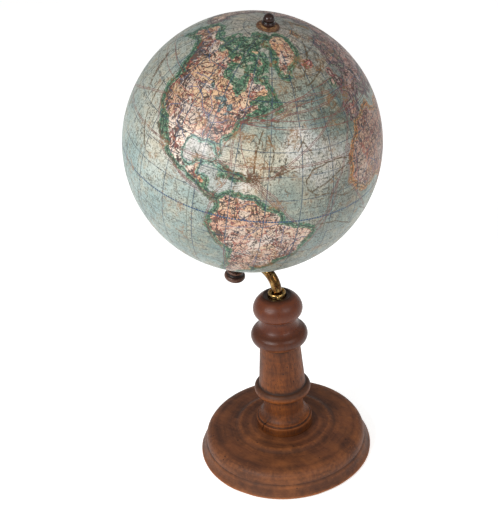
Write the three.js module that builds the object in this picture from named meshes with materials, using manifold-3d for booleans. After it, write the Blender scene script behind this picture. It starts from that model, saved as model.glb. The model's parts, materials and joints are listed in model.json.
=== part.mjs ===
// Desktop globe on a turned wooden stand, in millimetres, +Z up.
// The origin is the centre of the underside. The arm and the globe's axle lie in the XZ plane:
// the arm bends towards -X, and the north end of the axle leans towards +X.
import * as THREE from 'three';
import { mergeGeometries, mergeVertices } from 'three/addons/utils/BufferGeometryUtils.js';
import Module from 'manifold-3d';

const wasm = await Module();
wasm.setup();

// Driving dimensions
const GLOBE_RADIUS = 110;
const GLOBE_CENTRE = new THREE.Vector3(-17.5, 0, 317.2);
const TILT = THREE.MathUtils.degToRad(13.2);
const BASE_RADIUS = 81.9;
const BASE_TOP = 28.4;
const COLUMN_TOP = 157.6; // height of the widest part of the ball that ends the column
const ROD_RADIUS = 4.7;
const BEND_START = 175.2;
const BEND_RADIUS = 20.8;
const EYE_DISTANCE = 118.2; // from the globe's centre down the axle to the arm's eye
const AXLE_RADIUS = 2.7;
const GAP = 0.3; // between pieces that touch
const GORES = 12;
const MAP_TURN = 13.75; // degrees from the tilt plane to the first gore's edge
const FINE = 24; // sides of the globe's pieces, two to a gore
const TURNED = 28; // sides of the stand's turned wooden pieces
const SMALL = 16; // sides of the small pieces

// Sizes worked out from them
const PAPER = 0.5;
const SHELL_OUTER = GLOBE_RADIUS - PAPER - GAP;
const SHELL_WALL = 4;
const SHELL_INNER = SHELL_OUTER - SHELL_WALL;
const BLOCK_OUTER = SHELL_INNER - 1;
const FIXED_BORE = AXLE_RADIUS + GAP;
const BUSH_BORE = AXLE_RADIUS + 0.4;
const BUSH_RADIUS = 5;
const POLE_HOLE = BUSH_RADIUS + GAP;
const BLOCK_TOP = 92.3; // inner face of the pole blocks, from the globe's centre
const FELT_TOP = 1;
const BASE_BOTTOM = FELT_TOP + GAP;
const SOCKET_FLOOR = 10.2;
const TENON_RADIUS = 12;
const SCREW_HOLE = 3.3;
const ROD_SOCKET_FLOOR = 150;
const COLLAR_RADIUS = 8;
const COLLAR_SEAT = 168;
const COLLAR_TOP = 175.2;
const BALL_TUBE = 7.6; // half-width of the flare under the ball
const EYE_RADIUS = 7.5;
const EYE_HEIGHT = 10;
const CAP_LATITUDE = 80; // the gores stop at this latitude, where the round polar papers start
const RING_STEP = 10; // degrees of latitude between the rings of the shells and gores
const EYE_TOP = -EYE_DISTANCE + EYE_HEIGHT / 2;
const EYE_BOTTOM = -EYE_DISTANCE - EYE_HEIGHT / 2;
const AXLE_ENDS = { south: -137, north: 118 };
const DISC_TOP = GLOBE_RADIUS + 1.5; // outer faces of the leather pieces at the poles

const radians = THREE.MathUtils.degToRad;
const SET_SCREW = { radius: 1, height: 172.9, angle: radians(-40) };

// Points of a round stretch of an outline, from one angle to another, in degrees from +radius
function arc(r, z, radiusR, radiusZ, from, to, steps) {
  return Array.from({ length: steps + 1 }, (_, i) => {
    const angle = radians(from + ((to - from) * i) / steps);
    return [r + radiusR * Math.cos(angle), z + radiusZ * Math.sin(angle)];
  });
}

// Turns an outline of [radius, height] points about +Z. The outline runs anticlockwise and starts
// and ends on the axis, or else closes on itself.
function turned(outline, sides = SMALL) {
  const points = outline.map(([r, z]) => new THREE.Vector2(r, z));
  if (outline[0][0] > 0) points.push(points[0].clone());
  return new THREE.LatheGeometry(points, sides).rotateX(Math.PI / 2);
}

function onlyPositions(geometry) {
  const plain = geometry.index ? geometry : mergeVertices(geometry);
  plain.deleteAttribute('normal');
  plain.deleteAttribute('uv');
  return mergeVertices(plain, 1e-3);
}

// Turns an outline through part of a circle, and closes its two ends
function turnedSector(outline, start, length, steps) {
  const points = outline.map(([r, z]) => new THREE.Vector2(r, z));
  const side = new THREE.LatheGeometry([...points, points[0]], steps, start, length);
  const first = new THREE.ShapeGeometry(new THREE.Shape(points)).rotateY(start - Math.PI / 2);
  const last = new THREE.ShapeGeometry(new THREE.Shape(points)).rotateY(start + length - Math.PI / 2);
  last.setIndex([...last.index.array].reverse());
  return onlyPositions(mergeGeometries([side, first, last])).rotateX(Math.PI / 2);
}

function toSolid(geometry) {
  const plain = onlyPositions(geometry);
  return new wasm.Manifold(new wasm.Mesh({
    numProp: 3,
    vertProperties: new Float32Array(plain.attributes.position.array),
    triVerts: new Uint32Array(plain.index.array),
  }));
}

function toGeometry(solid) {
  const mesh = solid.getMesh();
  const geometry = new THREE.BufferGeometry();
  geometry.setAttribute('position', new THREE.BufferAttribute(mesh.vertProperties, 3));
  geometry.setIndex(new THREE.BufferAttribute(mesh.triVerts, 1));
  return geometry;
}

const finishes = {
  stainedWood: { color: 0x6e4128, roughness: 0.5, metalness: 0 },
  darkWood: { color: 0x3d1f18, roughness: 0.3, metalness: 0 },
  paleWood: { color: 0xb08a5c, roughness: 0.7, metalness: 0 },
  brass: { color: 0xa98546, roughness: 0.35, metalness: 1 },
  steel: { color: 0x9a9a98, roughness: 0.4, metalness: 1 },
  leather: { color: 0x8a5a34, roughness: 0.8, metalness: 0 },
  baize: { color: 0x2f4a34, roughness: 1, metalness: 0 },
  card: { color: 0xcfc4ac, roughness: 0.9, metalness: 0 },
  mapPaper: { color: 0xa9b3a6, roughness: 0.45, metalness: 0 },
};

function piece(name, geometry, finish) {
  const mesh = new THREE.Mesh(geometry, new THREE.MeshStandardMaterial(finishes[finish]));
  mesh.name = name;
  return mesh;
}

// Baize disc glued under the base
function baseFelt() {
  const radius = BASE_RADIUS - 3;
  return turned([[0, 0], [radius, 0], [radius, FELT_TOP], [0, FELT_TOP]], TURNED);
}

// Two-tier turned base, with a socket for the column's tenon and a counterbore for the screw
function baseDisc() {
  const lowerTier = [
    [BASE_RADIUS - 1, BASE_BOTTOM], [BASE_RADIUS, 2.6], [BASE_RADIUS - 2.8, 7],
    [BASE_RADIUS - 4.4, 11.2], [BASE_RADIUS - 6, 13.6],
  ];
  const upperTier = [
    [BASE_RADIUS - 5.7, 15], [BASE_RADIUS - 6.6, 19.2], [BASE_RADIUS - 9.3, 22.8],
    [BASE_RADIUS - 15.9, 25.2], [60, 26],
  ];
  const ledge = [[45.5, 27], [41, BASE_TOP]];
  return turned([
    [SCREW_HOLE, 6.2], [9, 6.2], [9, BASE_BOTTOM],
    ...lowerTier, ...upperTier, ...ledge,
    [TENON_RADIUS + GAP, BASE_TOP], [TENON_RADIUS + GAP, SOCKET_FLOOR], [SCREW_HOLE, SOCKET_FLOOR],
  ], TURNED);
}

// Column with its foot ring, scotia, two beads, tapered shaft and ball, all one turning.
// Its tenon goes into the base, and a bored hole in its top takes the arm.
function column() {
  const foot = BASE_TOP + GAP;
  const ball = { radius: 22.7, height: 17.4, end: 54 };
  const recess = 171.3; // floor of the shallow dish round the collar
  return turned([
    [0, 27], [SCREW_HOLE, 27], [SCREW_HOLE, SOCKET_FLOOR + GAP],
    [TENON_RADIUS, SOCKET_FLOOR + GAP], [TENON_RADIUS, foot],
    [25.6, foot], [26.4, foot + 0.7], [26.4, 37.2], [24.6, 38],
    ...arc(26.2, 50, 7.6, 10.5, 255, 180, 4),
    [18.6, 56], [18.7, 62.5],
    ...arc(21.6, 70.4, 4.8, 4.8, -75, 75, 5),
    [21.9, 75.6], [21.6, 78.4], [18.3, 122],
    ...arc(18.3, 129.8, 7.8, 7.8, -78, 62, 5),
    [18.4, 139.6], [16, 144.8],
    ...arc(15.1, COLUMN_TOP, BALL_TUBE, BALL_TUBE, -90, -20, 3),
    ...arc(0, COLUMN_TOP, ball.radius, ball.height, 0, ball.end, 5),
    [12.6, 172], [11.6, 171.8], [11, recess],
    [COLLAR_RADIUS + 2 * GAP, recess], [COLLAR_RADIUS + 2 * GAP, COLLAR_SEAT],
    [ROD_RADIUS + GAP, COLLAR_SEAT], [ROD_RADIUS + GAP, ROD_SOCKET_FLOOR], [0, ROD_SOCKET_FLOOR],
  ], TURNED);
}

// Wood screw that draws the column down into the base
function columnScrew() {
  return turned([
    [0, 1.9], [4.6, 1.9], [5.4, 2.6], [5.4, 4.6], [3, 4.6], [3, 23.5], [0, 26.4],
  ]);
}

function washer(bore, radius, bottom, top, drop = 0) {
  return turned([[bore, bottom], [radius, bottom - drop], [radius, top - drop], [bore, top]]);
}

// Brass socket collar let into the column's top, with a cup round the rod and a tapped side hole
function socketCollar() {
  const bore = ROD_RADIUS + GAP;
  const ring = turned([
    [bore, COLLAR_SEAT + GAP], [COLLAR_RADIUS, COLLAR_SEAT + GAP], [COLLAR_RADIUS, COLLAR_TOP - 0.5],
    [COLLAR_RADIUS - 0.4, COLLAR_TOP], [COLLAR_RADIUS - 1.4, COLLAR_TOP],
    [COLLAR_RADIUS - 1.9, COLLAR_TOP - 3], [bore, COLLAR_TOP - 3.6],
  ]);
  const hole = setScrewShape(SET_SCREW.radius + GAP, 4, COLLAR_RADIUS + 2);
  return toGeometry(toSolid(ring).subtract(toSolid(hole)));
}

// A rod that lies along a radius of the collar, from one distance off its axis to another
function setScrewShape(radius, from, to) {
  return new THREE.CylinderGeometry(radius, radius, to - from, 12)
    .rotateZ(-Math.PI / 2)
    .translate((from + to) / 2, 0, 0)
    .rotateZ(SET_SCREW.angle)
    .translate(0, 0, SET_SCREW.height);
}

// The arm's bend: a quarter turn less the tilt, from straight up towards -X
class Bend extends THREE.Curve {
  getPoint(t, target = new THREE.Vector3()) {
    const angle = t * (Math.PI / 2 - TILT);
    return target.set(
      -BEND_RADIUS * (1 - Math.cos(angle)), 0, BEND_START + BEND_RADIUS * Math.sin(angle),
    );
  }
}

// Bent brass rod with a bored eye at its end
function arm() {
  const alongAxle = new THREE.Vector3(Math.sin(TILT), 0, Math.cos(TILT));
  const eye = GLOBE_CENTRE.clone().addScaledVector(alongAxle, -EYE_DISTANCE);
  const bend = new Bend();
  const leg = bend.getPoint(1).sub(eye).setLength(5.2);
  const path = new THREE.CurvePath();
  path.add(new THREE.LineCurve3(
    new THREE.Vector3(0, 0, ROD_SOCKET_FLOOR + 2), new THREE.Vector3(0, 0, BEND_START),
  ));
  path.add(bend);
  path.add(new THREE.LineCurve3(bend.getPoint(1), eye.clone().add(leg)));
  const section = new THREE.Shape().absarc(0, 0, ROD_RADIUS, 0, 2 * Math.PI, false);
  const rod = new THREE.ExtrudeGeometry(section, {
    steps: 20, curveSegments: 6, bevelEnabled: false, extrudePath: path,
  });
  const round = (radius, height) => new THREE.CylinderGeometry(radius, radius, height, SMALL)
    .rotateX(Math.PI / 2)
    .rotateY(TILT)
    .translate(eye.x, eye.y, eye.z);
  return toGeometry(toSolid(rod)
    .add(toSolid(round(EYE_RADIUS, EYE_HEIGHT)))
    .subtract(toSolid(round(FIXED_BORE, EYE_HEIGHT + 2))));
}

// From here on, heights run along the axle from the globe's centre, positive to the north.

function axle() {
  const chamfer = 0.6;
  return turned([
    [0, AXLE_ENDS.south], [AXLE_RADIUS - chamfer, AXLE_ENDS.south],
    [AXLE_RADIUS, AXLE_ENDS.south + chamfer], [AXLE_RADIUS, AXLE_ENDS.north - chamfer],
    [AXLE_RADIUS - chamfer, AXLE_ENDS.north], [0, AXLE_ENDS.north],
  ]);
}

// Turned knob screwed on under the arm's eye, with a ring above a wide bead
function southKnob() {
  const top = EYE_BOTTOM - GAP;
  return turned([
    [0, -151.6], [4.5, -151],
    ...arc(6.8, -147.2, 3, 2.9, -62, 75, 6),
    [6.7, -142.9],
    ...arc(6.3, -140.9, 1.4, 1.4, -60, 80, 4),
    [5, -138.2], [4.6, -135.5], [4.6, top],
    [FIXED_BORE, top], [FIXED_BORE, AXLE_ENDS.south - GAP], [0, AXLE_ENDS.south - GAP],
  ]);
}

// Acorn finial screwed on the north end of the axle
function northFinial() {
  const bottom = DISC_TOP + GAP;
  return turned([
    [0, AXLE_ENDS.north + GAP], [FIXED_BORE, AXLE_ENDS.north + GAP], [FIXED_BORE, bottom],
    [4.9, bottom],
    ...arc(4.1, bottom + 1.4, 1.4, 1.4, -40, 60, 4),
    [4.35, bottom + 3.3],
    ...arc(0, bottom + 4.6, 4.75, 5, 0, 90, 6),
  ]);
}

// The point at a given radius on a sphere about the globe's centre, north of it
function onSphere(sphere, radius) {
  return [radius, Math.sqrt(sphere ** 2 - radius ** 2)];
}

// Turns an outline drawn for the north side (side 1), or its mirror image for the south (side -1)
function mirrored(outline, side) {
  const placed = outline.map(([r, z]) => [r, side * z]);
  return turned(side > 0 ? placed : placed.reverse(), FINE);
}

// Half of the globe's card shell: a bowl with a hole at its pole
function shell(side) {
  const rim = GAP / 2;
  const rings = CAP_LATITUDE / RING_STEP;
  return mirrored([
    [SHELL_INNER, rim], [SHELL_OUTER, rim],
    ...arc(0, 0, SHELL_OUTER, SHELL_OUTER, RING_STEP, CAP_LATITUDE, rings - 1),
    onSphere(SHELL_OUTER, POLE_HOLE), onSphere(SHELL_INNER, POLE_HOLE),
    ...arc(0, 0, SHELL_INNER, SHELL_INNER, CAP_LATITUDE, RING_STEP, rings - 1),
  ], side);
}

// Linen strip glued inside the joint between the two half shells
function equatorStrip() {
  const half = 12;
  const outer = SHELL_INNER - GAP;
  const edge = outer - 1.1;
  return turned([
    [outer - 0.9, 0], [edge - 0.9, -half], [edge, -half], [outer, 0], [edge, half], [edge - 0.9, half],
  ], FINE);
}

// Wooden pillar that keeps the two pole blocks apart, bored for the axle
function innerPillar() {
  const end = BLOCK_TOP - GAP;
  return turned([[4.5, -end], [10, -end], [10, end], [4.5, end]]);
}

// Wooden block glued inside the shell at a pole
function poleBlock(side) {
  const radius = 22;
  return mirrored([
    [POLE_HOLE, BLOCK_TOP], [radius, BLOCK_TOP],
    onSphere(BLOCK_OUTER, radius), onSphere(BLOCK_OUTER, radius / 2), onSphere(BLOCK_OUTER, POLE_HOLE),
  ], side);
}

// Brass bush that turns on the axle, pressed into the pole block and flush with the paper
function bush(side) {
  const top = GLOBE_RADIUS - GAP;
  return mirrored([
    [BUSH_BORE, BLOCK_TOP + 1], [BUSH_RADIUS, BLOCK_TOP + 1], [BUSH_RADIUS, top], [BUSH_BORE, top],
  ], side);
}

// One printed paper gore, a lens-shaped strip between two meridians
function gore(index) {
  const width = 360 / GORES;
  const seam = 0.08;
  const rings = (2 * CAP_LATITUDE) / RING_STEP;
  const inner = GLOBE_RADIUS - PAPER;
  const outline = [
    ...arc(0, 0, GLOBE_RADIUS, GLOBE_RADIUS, -CAP_LATITUDE, CAP_LATITUDE, rings),
    ...arc(0, 0, inner, inner, CAP_LATITUDE, -CAP_LATITUDE, rings),
  ];
  return turnedSector(outline, radians(index * width + seam), radians(width - 2 * seam), FINE / GORES);
}

// Round paper over the tips of the gores at a pole
function polarPaper(side) {
  const inner = GLOBE_RADIUS - PAPER;
  const edge = GLOBE_RADIUS * Math.cos(radians(CAP_LATITUDE + 0.2));
  return mirrored([
    onSphere(inner, edge), onSphere(GLOBE_RADIUS, edge),
    onSphere(GLOBE_RADIUS, POLE_HOLE), onSphere(inner, POLE_HOLE),
  ], side);
}

function stand() {
  const group = new THREE.Group();
  group.add(
    piece('base_felt', baseFelt(), 'baize'),
    piece('base_disc', baseDisc(), 'stainedWood'),
    piece('column', column(), 'stainedWood'),
    piece('column_screw', columnScrew(), 'steel'),
    piece('column_screw_washer', washer(SCREW_HOLE + 0.1, 8.2, 4.9, 5.9), 'steel'),
    piece('socket_collar', socketCollar(), 'brass'),
    piece('collar_set_screw', setScrewShape(SET_SCREW.radius, ROD_RADIUS + GAP, 9.3), 'brass'),
    piece('arm', arm(), 'brass'),
  );
  return group;
}

// The pieces that stay still on the axle line
function axleLine() {
  const group = new THREE.Group();
  group.add(
    piece('axle', axle(), 'steel'),
    piece('south_leather_washer', washer(FIXED_BORE, 8.5, -DISC_TOP, -GLOBE_RADIUS - 0.4), 'leather'),
    piece('south_brass_washer', washer(FIXED_BORE, 6.5, EYE_TOP + GAP, EYE_TOP + 1.4), 'brass'),
    piece('south_knob', southKnob(), 'darkWood'),
    piece('north_leather_disc', washer(FIXED_BORE, 9.3, GLOBE_RADIUS + 0.4, DISC_TOP, 0.45), 'leather'),
    piece('north_finial', northFinial(), 'darkWood'),
  );
  return group;
}

// The pieces that spin together
function globe() {
  const group = new THREE.Group();
  group.rotation.z = radians(MAP_TURN);
  group.add(
    piece('shell_north', shell(1), 'card'),
    piece('shell_south', shell(-1), 'card'),
    piece('equator_strip', equatorStrip(), 'card'),
    piece('inner_pillar', innerPillar(), 'paleWood'),
    piece('pole_block_north', poleBlock(1), 'paleWood'),
    piece('pole_block_south', poleBlock(-1), 'paleWood'),
    piece('bush_north', bush(1), 'brass'),
    piece('bush_south', bush(-1), 'brass'),
    piece('polar_paper_north', polarPaper(1), 'mapPaper'),
    piece('polar_paper_south', polarPaper(-1), 'mapPaper'),
  );
  for (let i = 0; i < GORES; i += 1) {
    group.add(piece(`gore_${String(i + 1).padStart(2, '0')}`, gore(i), 'mapPaper'));
  }
  return group;
}

const tilted = new THREE.Group();
tilted.position.copy(GLOBE_CENTRE);
tilted.rotation.y = TILT;
tilted.add(axleLine(), globe());

const desktopGlobe = new THREE.Group();
desktopGlobe.add(stand(), tilted);

export default desktopGlobe;
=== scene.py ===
import json
import math

import bmesh
import bpy
import numpy as np
from mathutils import Matrix, Vector


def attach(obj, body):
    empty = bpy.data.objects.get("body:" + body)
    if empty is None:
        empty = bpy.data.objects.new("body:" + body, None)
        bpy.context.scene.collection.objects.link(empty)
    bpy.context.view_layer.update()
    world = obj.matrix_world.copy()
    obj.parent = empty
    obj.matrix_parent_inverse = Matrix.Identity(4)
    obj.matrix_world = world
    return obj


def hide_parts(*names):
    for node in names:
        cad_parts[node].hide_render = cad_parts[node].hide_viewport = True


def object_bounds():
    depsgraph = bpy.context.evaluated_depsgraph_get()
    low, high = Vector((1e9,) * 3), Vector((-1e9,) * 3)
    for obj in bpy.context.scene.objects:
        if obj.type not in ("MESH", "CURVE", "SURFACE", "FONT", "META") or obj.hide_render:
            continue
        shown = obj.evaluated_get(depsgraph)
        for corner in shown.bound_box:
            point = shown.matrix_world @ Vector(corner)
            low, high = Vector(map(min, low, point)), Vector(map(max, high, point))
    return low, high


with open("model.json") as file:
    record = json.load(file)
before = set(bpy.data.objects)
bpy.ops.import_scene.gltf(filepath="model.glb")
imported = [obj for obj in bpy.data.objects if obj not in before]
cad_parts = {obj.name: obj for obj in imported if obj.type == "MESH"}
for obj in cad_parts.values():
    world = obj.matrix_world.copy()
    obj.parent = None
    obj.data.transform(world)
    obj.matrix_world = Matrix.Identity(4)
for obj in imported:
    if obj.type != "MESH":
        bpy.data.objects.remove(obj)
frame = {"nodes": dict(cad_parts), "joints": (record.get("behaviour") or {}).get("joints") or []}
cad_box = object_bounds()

# Lengths in the outlines and on the map are in millimetres, and angles on the map in degrees.
MM = 0.001
joint = frame["joints"][0]
CENTRE = Vector(joint["pos_m"])
NORTH = Vector(joint["axis"]).normalized()
DOWNHILL = Vector((NORTH.z, 0, -NORTH.x))
MAP_TURN = math.radians(13.75)  # the map's meridian 0 from the side that the axle leans to
SIDEWAYS = Vector((0, 1, 0))
MERIDIAN_0 = DOWNHILL * math.cos(MAP_TURN) + SIDEWAYS * math.sin(MAP_TURN)
MERIDIAN_90 = SIDEWAYS * math.cos(MAP_TURN) - DOWNHILL * math.sin(MAP_TURN)
ON_STAND = Matrix.Scale(MM, 4)
ON_AXLE = Matrix.Translation(CENTRE) @ Matrix(
    (MERIDIAN_0, MERIDIAN_90, NORTH)).transposed().to_4x4() @ Matrix.Scale(MM, 4)

RADIUS = 110.0
DEGREE = RADIUS * math.pi / 180  # millimetres of the globe's surface in a degree
PAPER_THICKNESS = 0.5
GORES = 12
GORE_WIDTH = 360.0 / GORES
GORE_COLUMNS = 48
GORE_ROWS = 240
BLOCK_ROWS = 16  # the rows of a grid that are measured together
CAP_LATITUDE = 80.0
FIRST_MERIDIAN = -90.0
PARIS = 2.34  # the longitude that the drawn meridians count from
STAR = (18.9, -64.0)  # a stain like a star with uneven rays
STAR_RAYS = 14
GULF = (25.5, -90.0)  # the coasts round it have a paler wash
GULF_WASH = (120, 158, 144)
GULF_REACH, GULF_FADE = 12.5, 2.5  # degrees
WEST_MEXICO = (20.0, -108.0)  # near the gulf, but with the usual wash
MEXICO_REACH = 5.0
COAST_REACH = 14.0  # millimetres from a coast within which the distance to it is drawn
RIDGE_REACH = 16.0
RIDGE_WIDTH = 5.5
LINE_REACH = 3.5
PRINT_SHIFT = 61.0  # millimetres between the prints of two neighbouring gores
POLE_HOLE = 87.2  # the latitude where the polar papers end round the bushes

COLLAR_TOP = 175.2
SCREW_HEIGHT = 172.9
SCREW_TURN = math.radians(-40)
ARM_RADIUS = 4.7
ARM_BEND = 20.8
EYE_DEPTH = 118.2  # from the globe's centre to the middle of the arm's eye
IN_EYE = 5.2  # from the middle of the eye to the rod's end, in the eye's wall
SOCKET_RADIUS = 5
SHARP = 35  # degrees between faces from which an edge is drawn sharp
SOFT_BEND = 12  # degrees of a bend in an outline up to which it isn't rounded off
LONGEST_RUN = 2.5
CREST_REACH = 2.2

# The studio, in metres
CAMERA_PLACE = (0.5999, -0.6633, 0.7328)
CAMERA_TURN = (43.579, 59.82, -4.211)  # degrees: about +Z, its tilt up from straight down, and its roll
LENS = 82.02  # millimetres, as is the sensor's width
SENSOR = 36
LAMP_DISTANCE = 1.3
LAMP_SIZE = 0.42
LAMP_RISE = 0.527  # radians above the level
LAMP_AIM = Vector((0, 0, 0.05))  # from the middle of the object
LAMPS = {"left": (-44, 14.0), "right": (44, 4.6)}  # degrees from the camera's side, and watts
SKY = 0.44
FLOOR = 60
random = np.random.default_rng(11)

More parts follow.
